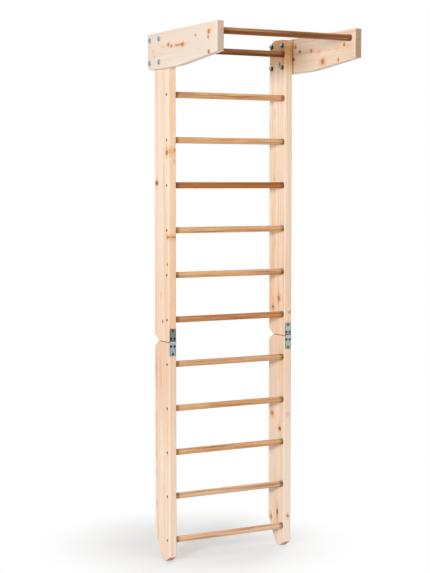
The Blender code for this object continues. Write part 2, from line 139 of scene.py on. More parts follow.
# Numbers in the names of an arm's bolts and of a hinge leaf's screws, and how much further each nut is
# turned than the one before it
BOLTS = range(1, 5)
LEAF_SCREWS = range(1, 4)
NUT_TURN = math.radians(13)
# Shares of a screw head's width: length, width and depth of each arm of its cross recess, and the radius
# of the painted shade round a hinge screw's sunk head. Then the share of the cross that its bottom still
# has.
CROSS_SHARES = (0.62, 0.13, 0.25)
SCREW_SHADE_SHARE = 0.82
CROSS_TAPER = 0.45
# Chamfer of a rod's end and height of a pin's rounded end, as shares of their radius, and how far the
# edges of the hinge's sheet are eased, as a share of its thickness
ROD_CHAMFER = 0.1
PIN_CROWN = 0.35
SHEET_EASE = 0.12

# How each board was sawn and how it has aged: where the pith lies from the board's middle, through it
# and across it, then how strong the year rings, the warm stretches, the warmer front edge (a paler one
# below 0), the darker end grain, the greyed surface, the thin orange streaks and the dulled colour are
Timber = namedtuple("Timber", "pith_through pith_across rings warmth edge end grey streaks dull")
TIMBER = {
    "left_upper_stile": Timber(0.082, -0.024, 0.50, 0.12, 0.70, 0.60, 0.06, 0.35, 0.0),
    "left_lower_stile": Timber(-0.034, 0.052, 0.85, 0.66, -0.28, 0.80, 0.12, 0.60, 0.0),
    "right_upper_stile": Timber(0.090, 0.020, 0.65, 0.24, -0.10, 0.60, 0.00, 0.90, 0.0),
    "right_lower_stile": Timber(0.078, -0.030, 0.65, 0.56, -0.45, 0.75, 0.34, 0.55, 0.0),
    "left_arm": Timber(0.090, -0.004, 0.62, 0.14, 0.20, 0.64, 0.75, 0.20, 0.0),
    "right_arm": Timber(-0.095, 0.018, 1.20, 0.55, 0.30, 0.94, 0.40, 0.70, 0.48),
}

# Where a board is tinted along one axis: darker, warmer wood by the joint; painted warm shade near the
# bolts where the shadows of the left arm and the bar fall; and painted shade in the corner between board
# and arm and at the top of the right upper stile. Along which axis, where it starts, is full and ends, how
# much, and with which finish. FAR lies past every board.
StainAndShade = namedtuple("StainAndShade", "axis start full end most finish")
FAR = 9.0
STAINS_AND_SHADES = {
    "left_upper_stile": [StainAndShade("Z", -FAR, 1.15, 1.75, 0.70, "stain_warm")],
    "left_lower_stile": [StainAndShade("Z", 0.40, 0.88, FAR, 1.00, "stain_warm")],
    "right_lower_stile": [StainAndShade("Z", 0.40, 0.88, FAR, 0.55, "stain_warm")],
    "right_upper_stile": [
        StainAndShade("Z", -FAR, 1.15, 1.70, 1.00, "stain_warm"),
        # Painted warm shade where the left arm's shadow falls, and painted shade darker still at the top
        StainAndShade("Z", 2.195, 2.290, FAR, 1.00, "stain"),
        StainAndShade("Z", 2.270, 2.330, FAR, 0.34, "stain_dark"),
    ],
    "right_arm": [
        # Painted warm shade where the left arm's and the bar's shadows fall, and painted shade in the
        # corner by the stile
        StainAndShade("Y", -0.200, 0.190, FAR, 0.24, "stain"),
        StainAndShade("Y", 0.173, 0.184, 0.192, 0.80, "stain_dark"),
    ],
}

# How much warm brown, dark brown and rosy pale wood each rung holds, from the floor up, and the bar after
# them. Below 0 the dark brown streaks are thinner than usual.
Rod = namedtuple("Rod", "warm dark pale")
RODS = (
    Rod(0.00, -0.06, 0.78), Rod(0.00, -0.04, 0.60), Rod(0.08, 0.00, 0.00), Rod(0.06, 0.00, 0.00),
    Rod(0.16, 0.05, 0.20), Rod(0.46, 0.10, 0.00), Rod(0.02, 0.00, 0.00), Rod(0.00, 0.00, 0.00),
    # The twelfth rung's dark brown is partly its wood and partly painted shade from the arms and the bar
    # above it
    Rod(0.80, 0.34, 0.00), Rod(0.00, 0.00, 0.00), Rod(0.17, 0.02, 0.00), Rod(0.75, 1.20, 0.00),
    Rod(0.45, 0.76, 0.00),
)

# Knots that show on each board, in metres: (shade, y, z, half width, half height) on a wide face,
# and (shade, x, z, half width, half height) on a front edge
FACE_KNOTS = {
    "left_upper_stile": [
        ("brown", 0.203, 1.845, 0.012, 0.010),
        ("faint", 0.203, 1.866, 0.007, 0.014),
        ("dark", 0.306, 1.710, 0.012, 0.008),
        ("brown", 0.198, 1.470, 0.010, 0.006),
        ("dark", 0.201, 1.348, 0.004, 0.004),
        ("faint", 0.267, 1.212, 0.006, 0.006),
        ("dark", 0.250, 1.090, 0.005, 0.004),
    ],
    "left_lower_stile": [
        ("streak", 0.318, 0.865, 0.010, 0.075),
        ("streak", 0.270, 0.840, 0.006, 0.090),
        ("streak", 0.320, 0.640, 0.009, 0.034),
        ("streak", 0.319, 0.475, 0.008, 0.022),
        ("streak", 0.318, 0.400, 0.007, 0.016),
        ("streak", 0.317, 0.250, 0.007, 0.020),
        ("streak", 0.300, 0.130, 0.006, 0.022),
        ("faint", 0.243, 0.330, 0.003, 0.005),
    ],
    "right_upper_stile": [
        ("dark", 0.240, 2.257, 0.005, 0.006),
        ("faint", 0.278, 2.036, 0.005, 0.006),
        ("faint", 0.282, 1.732, 0.005, 0.006),
        ("faint", 0.280, 1.430, 0.005, 0.008),
        ("brown", 0.239, 1.172, 0.010, 0.011),
        ("streak", 0.242, 1.205, 0.005, 0.020),
        ("brown", 0.293, 1.128, 0.011, 0.007),
        ("dark", 0.293, 1.129, 0.006, 0.005),
        ("streak", 0.293, 1.165, 0.004, 0.024),
        ("faint", 0.290, 1.112, 0.005, 0.010),
    ],
    "right_lower_stile": [
        ("brown", 0.298, 0.622, 0.013, 0.009),
        ("dark", 0.227, 0.559, 0.010, 0.008),
        ("brown", 0.248, 0.150, 0.008, 0.022),
        ("dark", 0.247, 0.157, 0.005, 0.012),
        ("brown", 0.306, 0.121, 0.008, 0.009),
    ],
    "left_arm": [
        ("faint", 0.180, 2.305, 0.011, 0.004),
        ("brown", 0.120, 2.309, 0.008, 0.007),
        ("dark", 0.091, 2.300, 0.004, 0.005),
        ("faint", 0.020, 2.300, 0.036, 0.006),
        ("brown", 0.022, 2.299, 0.026, 0.003),
        ("brown", -0.018, 2.298, 0.011, 0.008),
        ("brown", -0.141, 2.326, 0.005, 0.005),
        ("faint", -0.164, 2.266, 0.003, 0.003),
        ("faint", -0.268, 2.336, 0.011, 0.008),
        ("brown", -0.259, 2.330, 0.008, 0.009),
        ("dark", -0.254, 2.308, 0.004, 0.005),
        ("dark", -0.258, 2.247, 0.006, 0.007),
        ("faint", 0.272, 2.289, 0.005, 0.008),
        ("dark", 0.262, 2.268, 0.002, 0.003),
    ],
    "right_arm": [
        ("brown", 0.164, 2.330, 0.007, 0.007),
        ("dark", 0.124, 2.307, 0.006, 0.006),
        ("brown", 0.025, 2.303, 0.007, 0.007),
        ("faint", -0.038, 2.291, 0.006, 0.006),
        ("dark", 0.180, 2.276, 0.007, 0.007),
        ("brown", -0.072, 2.247, 0.012, 0.012),
        ("dark", -0.199, 2.246, 0.004, 0.006),
        ("faint", -0.194, 2.300, 0.009, 0.006),
        ("dark", -0.245, 2.307, 0.005, 0.006),
        ("faint", -0.273, 2.300, 0.009, 0.005),
    ],
}
EDGE_KNOTS = {
    "left_upper_stile": [
        ("faint", -0.297, 1.853, 0.018, 0.009),
        ("brown", -0.285, 1.855, 0.006, 0.003),
        ("faint", -0.288, 1.806, 0.008, 0.006),
        ("faint", -0.297, 1.470, 0.017, 0.008),
        ("brown", -0.290, 1.470, 0.010, 0.0030),
    ],
    "right_upper_stile": [("brown", 0.309, 1.110, 0.007, 0.0026)],
    "right_lower_stile": [("faint", 0.300, 0.630, 0.007, 0.006), ("brown", 0.302, 0.147, 0.005, 0.006)],
}
# How far a knot keeps its size on its way into the board, how much larger it is drawn, how much longer
# its halo runs along the grain, and how far its outline strays
FACE_KNOT_REACH = 0.070
EDGE_KNOT_REACH = 0.012
KNOT_SPREAD = 1.05
HALO_STRETCH = 1.7
KNOT_STRAY = 0.010
# How far the painted shade of a rung screw's sunk hole reaches from the screw's middle
SCREW_HOLE_SHADE_REACH = 0.0072
# Least and greatest width of a year ring, and how far the rings wander along a board, ripple, and bulge
# round a knot
RING_WIDTHS = (0.0044, 0.0054)
RING_WANDER = 0.060
RING_RIPPLE = 0.0026
KNOT_BULGE = 0.014
# How far the streaks of a rod wave
ROD_WAVE = 0.030
# How far apart the boards and rods lie in the noise, so that no two are alike, and a move from one
# pattern of a rod to another
NOISE_SPREAD = 9
NOISE_MOVE = (3.0, 5.0, 7.0)
# How deep the grain of the boards and rods and the scratches in the metal are
BOARD_RELIEF = 0.0004
ROD_RELIEF = 0.0003
ZINC_RELIEF = 0.00008
STEEL_RELIEF = 0.00006
# How far the painted shade reaches in from the rim of a hinge leaf
RIM_SHADE = 0.0035
# Where the knuckles get a painted highlight and where painted shade lies above them, as heights over the
# hinge's axis: start, full, still full and end
KNUCKLE_HIGHLIGHT_BAND = (-0.0085, -0.0065, 0.0025, 0.0040)
KNUCKLE_SHADE_BAND = (0.0040, 0.0055, 0.0085, 0.0105)
# How far before the foot of a nut's dome its painted shade starts, and how far past it that shade is full
NUT_SHADE = (0.002, 0.001)
# How far from a board's face the painted shade at a rod's end starts and is full
ROD_END_SHADE = (0.026, 0.005)
# How strongly an orange streak shows
STREAK_TONE = 0.85
# How strongly the orange halo, the core and the dark rim of each shade of knot show
KNOT_TONES = {
    "faint": (0.34, 0.70, 0.05),
    "brown": (0.72, 0.94, 0.34),
    "dark": (0.84, 0.97, 0.80),
}

# Where each lamp stands and how wide and high it is, and the point that all of them light
LAMPS = {
    "key": ((-6.1, -4.1, 2.33), (1.5, 1.1)),
    "fill": ((3.6, -4.4, 0.9), (3.0, 1.8)),
    "top": ((0.0, -0.6, 5.4), (3.6, 3.6)),
    "back": ((4.6, 3.6, 2.6), (2.6, 2.0)),
}
LAMP_AIM = Vector((0, 0, 1.2))
# Radius of the floor, the middle of its shaded part, how far out that starts to fade and has faded to
# white, and how much white its middle holds
FLOOR_RADIUS = 9
SHADE_MIDDLE = (-0.05, 0.45, 0.0)
SHADE_FADE = (0.12, 0.80)
SHADE_WHITE = 0.28
# Width of the camera's sensor, in millimetres
SENSOR_WIDTH = 36


def length(name, default, description):
    """A size that a user can change."""
    return FloatProperty(name=name, description=description, default=default, unit="LENGTH", precision=4)


def colour(name, default, description):
    """A colour that a user can change, in linear light."""
    return FloatVectorProperty(
        name=name, description=description, default=default, subtype="COLOR", size=3, min=0, max=1
    )


def amount(name, default, description):
    """A plain number that a user can change."""
    return FloatProperty(name=name, description=description, default=default, precision=3)


class BoardSizes(bpy.types.PropertyGroup):
    """Sizes of the stiles and arms that their boxes don't give."""

    edge_radius: length("Edge radius", 0.004, "Rounding of a board's long edges")
    corner_depth: length("Corner depth", 0.038, "How far a sawn corner reaches along the board's width")
    corner_height: length("Corner height", 0.025, "How far a sawn corner reaches along the board")
    foot_flat: length("Foot flat", 0.035, "Depth of the flat that stands on the floor")
    foot_taper: length("Foot taper", 0.122, "Height over which the foot narrows behind")
    nose_height: length("Arm nose height", 0.125, "Height of an arm at its front end")
    level_reach: length("Arm level reach", 0.160, "How far an arm's underside stays level before the stile")
    heel_radius: length("Arm heel radius", 0.018, "Rounding of an arm's lower back corner")
    belly_radius: length("Arm belly radius", 0.800, "Rounding where an arm's underside starts to rise")


class HardwareSizes(bpy.types.PropertyGroup):
    """Sizes of bolts, nuts, hinges and screws that their boxes don't give."""

    bolt_shank: length("Bolt shank", 0.0098, "Diameter of a carriage bolt's shank")
    bolt_neck: length("Bolt neck", 0.0106, "Width of the square neck under a bolt's head")
    bolt_neck_depth: length("Bolt neck depth", 0.006, "Length of that square neck")
    bolt_rim: length("Bolt rim", 0.0009, "Height of the rim of a bolt's head")
    nut_flats: length("Nut flats", 0.017, "Width across a cap nut's flats")
    nut_flange: length("Nut flange", 0.002, "Thickness of the flange under a cap nut")
    nut_hex: length("Nut hexagon", 0.007, "Height of a cap nut's hexagon")
    nut_dome: length("Nut dome", 0.0155, "Diameter of a cap nut's dome")
    sheet: length("Hinge sheet", 0.0018, "Thickness of the hinge's sheet metal")
    leaf_corner: length("Leaf corner", 0.004, "Radius of a hinge leaf's corners")
    leaf_notch: length("Leaf notch", 0.0055, "How far a leaf is cut back for the other leaf's knuckle")
    middle_knuckle: length("Middle knuckle", 0.012, "Width of the hinge's middle knuckle")
    roll: FloatProperty(
        name="Knuckle roll", description="How far the sheet is rolled round the pin",
        default=math.radians(285), subtype="ANGLE",
    )
    hinge_screw_shank: length("Hinge screw shank", 0.004, "Diameter of a hinge screw's shank")
    bar_screw_shank: length("Bar screw shank", 0.0045, "Diameter of a bar screw's shank")
    rung_screw_head: length("Rung screw head", 0.0120, "Diameter of a rung screw's head")
    rung_screw_shank: length("Rung screw shank", 0.0060, "Diameter of a rung screw's shank")
    rung_screw_length: length("Rung screw length", 0.060, "Length of a rung screw")
    rung_screw_depth: length("Rung screw depth", 0.0016, "How deep a rung screw's head is sunk")


class Finishes(bpy.types.PropertyGroup):
    """Colours of the wood and metal."""

    spruce: colour("Spruce", (0.93, 0.745, 0.60), "Pale wood of the boards, between the year rings")
    spruce_pale: colour("Spruce pale", (0.96, 0.82, 0.70), "Palest stretches of the boards")
    spruce_ring: colour("Spruce rings", (0.78, 0.47, 0.26), "Darker wood of the year rings")
    spruce_warm: colour("Spruce warm", (0.88, 0.585, 0.37), "Warmer stretches of the boards")
    spruce_grey: colour("Spruce greyed", (0.76, 0.645, 0.55), "Greyed surface of the boards")
    end_grain: colour("End grain", (0.58, 0.46, 0.35), "Tint of the boards' sawn ends")
    spruce_dull: colour("Spruce dulled", (0.80, 0.88, 0.95), "Tint that takes red out of a dulled board")
    stain_warm: colour("Warm stain", (0.95, 0.85, 0.78), "Tint of the boards' warmer wood by the joint")
    # Partly a warm stain and partly painted warm shade, where the arm's and the bar's shadows fall
    stain: colour("StainAndShade", (0.97, 0.76, 0.47), "Tint of the wood that has darkened near the bolts")
    # Painted shade, in the corner between board and arm and at the top of the right upper stile
    stain_dark: colour("Dark stain", (0.36, 0.22, 0.11), "Tint of the dirt between board and arm")
    knot_halo: colour("Knot halo", (0.80, 0.43, 0.19), "Orange wood round the knots")
    knot_brown: colour("Brown knots", (0.40, 0.155, 0.040), "Wood of the live knots")
    # Also painted shade in the sunk holes of the rung screws
    knot_dark: colour("Dark knots", (0.11, 0.040, 0.015), "Bark and resin of the dead knots")
    rung_light: colour("Rung light", (0.77, 0.455, 0.23), "Lighter wood of the rungs")
    rung_pale: colour("Rung pale", (0.87, 0.57, 0.375), "Rosy pale wood of the lowest rungs")
    rung_warm: colour("Rung warm", (0.50, 0.155, 0.022), "Orange brown wood of the rungs")
    rung_dark: colour("Rung dark", (0.20, 0.068, 0.018), "Darker streaks of the rungs")
    # Painted highlight on the hinge knuckles
    zinc_highlight: colour("Rubbed zinc", (0.52, 0.60, 0.62), "Zinc of the hinge knuckles")
    zinc_bright: colour("Bright zinc", (0.235, 0.35, 0.39), "Bluish zinc plate of the bolts")
    zinc: colour("Zinc", (0.22, 0.28, 0.28), "Duller zinc plate")
    zinc_dull: colour("Dull zinc", (0.125, 0.16, 0.13), "Greenish grey zinc plate")
    zinc_green: colour("Greenish zinc", (0.34, 0.41, 0.36), "Greenish patches of the right hinge")
    zinc_bloom: colour("Zinc bloom", (0.40, 0.46, 0.48), "Pale bloom on the zinc plate")
    # Painted shade on the nuts' hexagons and flanges, round the hinge screws, along the leaves' rims and
    # above the knuckles
    zinc_shade: colour("Dark zinc", (0.035, 0.045, 0.042), "Tarnish on the nuts and round the screws")
    steel: colour("Dark steel", (0.012, 0.010, 0.009), "Dark screws of the rungs and hinges")
    steel_worn: colour("Worn steel", (0.10, 0.09, 0.08), "Rubbed patches of the screws")
    steel_pale: colour("Pale steel", (0.44, 0.35, 0.24), "Paler screws of the pull-up bar")


class StageSettings(bpy.types.PropertyGroup):
    """Camera, light and floor."""

    camera: FloatVectorProperty(
        name="Camera", description="Where the camera stands", default=(-3.0401, -5.4011, 1.7102),
        size=3, subtype="TRANSLATION", unit="LENGTH",
    )
    yaw: FloatProperty(
        name="Yaw", description="How far the camera looks to the right of +Y",
        default=math.radians(27.867), subtype="ANGLE",
    )
    pitch: FloatProperty(
        name="Pitch", description="How far the camera looks down",
        default=math.radians(4.223), subtype="ANGLE",
    )
    lens: FloatProperty(
        name="Lens", description="Focal length on a 36 mm wide sensor", default=88.06, unit="CAMERA",
    )
    floor: colour("Floor", (0.80, 0.80, 0.797), "Pale floor")
    key: amount("Key light", 398.0, "Power of the soft light at the front left, in watts")
    fill: amount("Fill light", 15.0, "Power of the soft light at the front right, in watts")
    top: amount("Top light", 92.0, "Power of the soft light overhead, in watts")
    back: amount("Back light", 115.0, "Power of the soft light at the back right, in watts")
    sky: amount("Sky", 0.275, "Strength of the even light from all round")
    key_tint: colour("Key tint", (0.96, 0.985, 1.0), "Slightly cool tint of the light at the front left")
    sky_tint: colour("Sky tint", (1.0, 0.95, 0.88), "Warm tint of the even light from all round")


# Modelling with Blender's operators


def activate(piece):
    """Selects one piece alone."""
    bpy.ops.object.select_all(action="DESELECT")
    piece.select_set(True)
    bpy.context.view_layer.objects.active = piece


@contextlib.contextmanager
def editing(piece):
    """Edit mode on one piece, with all of it selected."""
    activate(piece)
    bpy.ops.object.mode_set(mode="EDIT")
    bpy.ops.mesh.select_mode(type="FACE")
    bpy.ops.mesh.select_all(action="SELECT")
    yield
    bpy.ops.object.mode_set(mode="OBJECT")


def choose(piece, kind, test):
    """In edit mode, selects the vertices, edges or faces that pass a test, and nothing else."""
    bpy.ops.mesh.select_mode(type=kind)
    bpy.ops.mesh.select_all(action="DESELECT")
    shape = bmesh.from_edit_mesh(piece.data)
    for element in {"VERT": shape.verts, "EDGE": shape.edges, "FACE": shape.faces}[kind]:
        if test(element):
            element.select_set(True)
    bmesh.update_edit_mesh(piece.data)


def new_piece(name):
    """The primitive that was just added, named and with its place in its mesh."""
    piece = bpy.context.object
    piece.name = name
    bpy.ops.object.transform_apply(location=True, rotation=True, scale=True)
    return piece


def plank(name, low, high):
    """A rough board that fills the box from low to high."""
    bpy.ops.mesh.primitive_cube_add(size=1, location=(low + high) / 2, scale=high - low)
    return new_piece(name)


def saw(piece, start, end):
    """Saws along the line from start to end, points in (y, z), and drops what lies to its left."""
    along = Vector(end) - Vector(start)
    with editing(piece):
        bpy.ops.mesh.bisect(
            plane_co=(0, *start), plane_no=(0, -along.y, along.x), use_fill=True, clear_outer=True
        )


def round_edge(piece, place, reach):
    """Rounds the edge that runs across a board at a place in (y, z)."""
    def at_place(edge):
        return all((Vector(vert.co.yz) - Vector(place)).length < OVERCUT for vert in edge.verts)

    with editing(piece):
        choose(piece, "EDGE", at_place)
        bpy.ops.mesh.bevel(offset=reach, segments=ARC_STEPS, affect="EDGES")


def ease(piece, radius, steps, angle=SHARP_ANGLE):
    """Rounds all the edges of a piece that are sharper than an angle."""
    with editing(piece):
        choose(piece, "EDGE", lambda edge: edge.calc_face_angle(0) > angle)
        bpy.ops.mesh.bevel(offset=radius, segments=steps, affect="EDGES")


def turned(name, profile, sides=SMALL_SIDES):
    """A closed piece turned about +Z from (height, radius) pairs, drawn up ring by ring."""
    height, radius = profile[0]
    bpy.ops.mesh.primitive_circle_add(
        vertices=sides, radius=radius, fill_type="NGON", location=(0, 0, height)
    )
    piece = new_piece(name)
    with editing(piece):
        for next_height, next_radius in profile[1:]:
            bpy.ops.mesh.extrude_region_move(
                TRANSFORM_OT_translate={"value": (0, 0, next_height - height)}
            )
            scale = next_radius / radius
            bpy.ops.transform.resize(value=(scale, scale, 1), center_override=(0, 0, next_height))
            height, radius = next_height, next_radius
        bpy.ops.mesh.select_all(action="SELECT")
        bpy.ops.mesh.normals_make_consistent(inside=False)
    return piece


def dome(base, radius, rise):
    """Profile of a round cap, from just above its base ring to a small flat on top."""
    angles = [math.pi / 2 * step / ARC_STEPS for step in range(1, ARC_STEPS)]
    return [(base + rise * math.sin(angle), radius * math.cos(angle)) for angle in angles]


def copy_of(model, name, place, direction=Z_AXIS, spin=0.0):
    """A copy with its own mesh, turned from +Z to a direction and moved to its place."""
    piece = model.copy()
    piece.data = model.data.copy()
    piece.name = name
    bpy.context.collection.objects.link(piece)
    turn = Z_AXIS.rotation_difference(direction).to_matrix().to_4x4()
    piece.data.transform(Matrix.Translation(place) @ turn @ Matrix.Rotation(spin, 4, "Z"))
    return piece


def joined(pieces):
    """Several pieces as one object."""
    activate(pieces[0])
    for piece in pieces:
        piece.select_set(True)
    bpy.ops.object.join()
    return pieces[0]


def apply_modifier(piece, kind, **settings):
    """Adds a modifier with its settings and applies it."""
    activate(piece)
    bpy.ops.object.modifier_add(type=kind)
    modifier = piece.modifiers[-1]
    for name, value in settings.items():
        setattr(modifier, name, value)
    bpy.ops.object.modifier_apply(modifier=modifier.name)


def carve(piece, tool, operation="DIFFERENCE"):
    """Cuts a tool's shape from a piece, or joins it on, and removes the tool."""
    apply_modifier(piece, "BOOLEAN", object=tool, operation=operation, solver="EXACT")
    bpy.data.objects.remove(tool)


def smooth(piece):
    """Shades round walls smooth and keeps large flats flat."""
    activate(piece)
    bpy.ops.object.shade_smooth_by_angle(angle=SMOOTH_ANGLE)
    apply_modifier(piece, "WEIGHTED_NORMAL", keep_sharp=True)


def settle(piece, body, slot, material, *nodes):
    """Gives a finished piece its material and its body, and hides the nodes that it stands for. The slot is
    not used.
    """
    piece.data.materials.clear()
    piece.data.materials.append(material)
    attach(piece, body)
    if nodes:
        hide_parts(*nodes)


def body_of(node):
    """The body that a node belongs to."""
    return frame["nodes"][node]["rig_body"]


def middle(node):
    """The middle of a node's box."""
    low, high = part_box(node)
    return (low + high) / 2


def front_of(node):
    """The middle of the front of a node's box."""
    place = middle(node)
    place.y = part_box(node)[0].y
    return place


# Materials


class Signal:
    """A socket of a material's nodes. Arithmetic on signals and numbers adds Math nodes."""

    def __init__(self, tree, socket):
        self.tree = tree
        self.socket = socket

    def node(self, kind, settings, sockets, output=0):
        """Adds any node: first its settings, then the values or links of its sockets."""
        made = self.tree.nodes.new(kind)
        for name, value in settings.items():
            setattr(made, name, value)
        for key, value in sockets.items():
            if isinstance(value, Signal):
                self.tree.links.new(value.socket, made.inputs[key])
            else:
                made.inputs[key].default_value = value
        return Signal(self.tree, made.outputs[output])

    def math(self, operation, first, second=0.0):
        """A Math node on two signals or numbers."""
        return self.node("ShaderNodeMath", {"operation": operation}, {0: first, 1: second})

    def vector(self, operation, other):
        """A Vector Math node on this vector and another."""
        return self.node("ShaderNodeVectorMath", {"operation": operation}, {0: self, 1: other})

    def __add__(self, other):
        return self.math("ADD", self, other)

    def __sub__(self, other):
        return self.math("SUBTRACT", self, other)

    def __rsub__(self, other):
        return self.math("SUBTRACT", other, self)

    def __mul__(self, other):
        return self.math("MULTIPLY", self, other)

    def __truediv__(self, other):
        return self.math("DIVIDE", self, other)

    __radd__ = __add__
    __rmul__ = __mul__

    def __abs__(self):
        return self.math("ABSOLUTE", self)

    def part(self, axis):
        """One of the three numbers of a vector."""
        return self.node("ShaderNodeSeparateXYZ", {}, {0: self}, axis)

    def length(self):
        """How long a vector is."""
        return self.node("ShaderNodeVectorMath", {"operation": "LENGTH"}, {0: self}, "Value")

    def step(self, start, end):
        """0 up to start, 1 from end on, and a smooth rise between. start may lie above end."""
        sockets = {"Value": self, "From Min": start, "From Max": end}
        return self.node("ShaderNodeMapRange", {"interpolation_type": "SMOOTHSTEP"}, sockets)

    def between(self, start, full, still_full, end):
        """0 up to start, 1 from full to still_full, and 0 from end on."""
        return self.step(start, full) * self.step(end, still_full)

    def noise(self, scale, detail, output=0):
        """A Noise Texture at this place: output 0 is a number, 1 a colour."""
        sockets = {"Vector": self, "Scale": scale, "Detail": detail}
        return self.node("ShaderNodeTexNoise", {}, sockets, output)

    def stray(self, scale, detail, reach):
        """A vector that wanders about zero, over reach in all."""
        return self.noise(scale, detail, 1).vector("SUBTRACT", EVENLY / 2).vector("MULTIPLY", reach)

    def mix(self, first, second, blend="MIX"):
        """A colour between two others, by this factor."""
        settings = {"data_type": "RGBA", "blend_type": blend, "clamp_factor": True}
        return self.node("ShaderNodeMix", settings, {0: self, 6: first, 7: second}, 2)


def solid(rgb):
    """A colour with full alpha."""
    return (*rgb, 1.0)


def grey(value):
    """A grey colour with full alpha."""
    return (value, value, value, 1.0)


def background_rays(tree):
    """1 for the rays that show the background: from the camera, a gloss or a clear body."""
    rays = tree.nodes.new("ShaderNodeLightPath")
    seen = Signal(tree, rays.outputs["Is Camera Ray"])
    for name in ("Is Glossy Ray", "Is Transmission Ray"):
        seen = seen.math("MAXIMUM", seen, Signal(tree, rays.outputs[name]))
    return seen


def new_material(name):
    """A material, its shader, and the piece's own coordinates as a signal."""
    material = bpy.data.materials.new(name)
    material.use_nodes = True
    tree = material.node_tree
    place = tree.nodes.new("ShaderNodeTexCoord")
    return material, tree.nodes["Principled BSDF"], Signal(tree, place.outputs["Object"])


def feed(shader, **values):
    """Links signals to the shader's sockets and sets numbers, with _ for a space in a socket's name."""
    for name, value in values.items():
        socket = shader.inputs[name.replace("_", " ")]
        if isinstance(value, Signal):
            value.tree.links.new(value.socket, socket)
        else:
            socket.default_value = value


def smallest(signals):
    """The smallest of several signals."""
    return functools.reduce(lambda least, other: least.math("MINIMUM", least, other), signals)


def bump(height, distance, strength):
    """A bumped normal from a height signal."""
    sockets = {"Height": height, "Distance": distance, "Strength": strength}
    return height.node("ShaderNodeBump", {}, sockets)


def knot_fields(place, board, lengthwise):
    """How far a point lies from the nearest knot of each shade and from its halo, where 1 is the rim.

    The second value is how far the grain that flows round the knots lies from the nearest of them.
    """
    low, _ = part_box(board)
    wobbly = place.vector("ADD", place.stray(110.0, 2.0, EVENLY * KNOT_STRAY))
    knots = []
    for shade, y, z, wide, tall in FACE_KNOTS[board]:
        knots.append((shade, (low.x, y, z), (FACE_KNOT_REACH, wide, tall)))
    for shade, x, z, wide, tall in EDGE_KNOTS.get(board, ()):
        knots.append((shade, (x, low.y, z), (wide, EDGE_KNOT_REACH, tall)))
    cores = defaultdict(list)
    halos = defaultdict(list)
    flows = []
    for shade, centre, radii in knots:
        inverse = Vector(1 / radius / KNOT_SPREAD for radius in radii)
        longer = inverse - inverse * lengthwise * lengthwise * (1 - 1 / HALO_STRETCH)
        away = wobbly.vector("SUBTRACT", centre)
        cores[shade].append(away.vector("MULTIPLY", inverse).length())
        halos[shade].append(away.vector("MULTIPLY", longer).length())
        if shade != "streak":
            flows.append(place.vector("SUBTRACT", centre).vector("MULTIPLY", longer).length())
    fields = {shade: (smallest(cores[shade]), smallest(halos[shade])) for shade in cores}
    return fields, smallest(flows)


def noise_start(draw):
    """Where a board or rod lies in the noise."""
    return Vector(draw.uniform(-NOISE_SPREAD, NOISE_SPREAD) for _ in range(3))


def facing(place, axis):
    """How squarely the surface faces along an axis, either way."""
    normal = Signal(place.tree, place.socket.node.outputs["Normal"])
    sockets = {0: normal, 1: axis}
    return abs(place.node("ShaderNodeVectorMath", {"operation": "DOT_PRODUCT"}, sockets, "Value"))


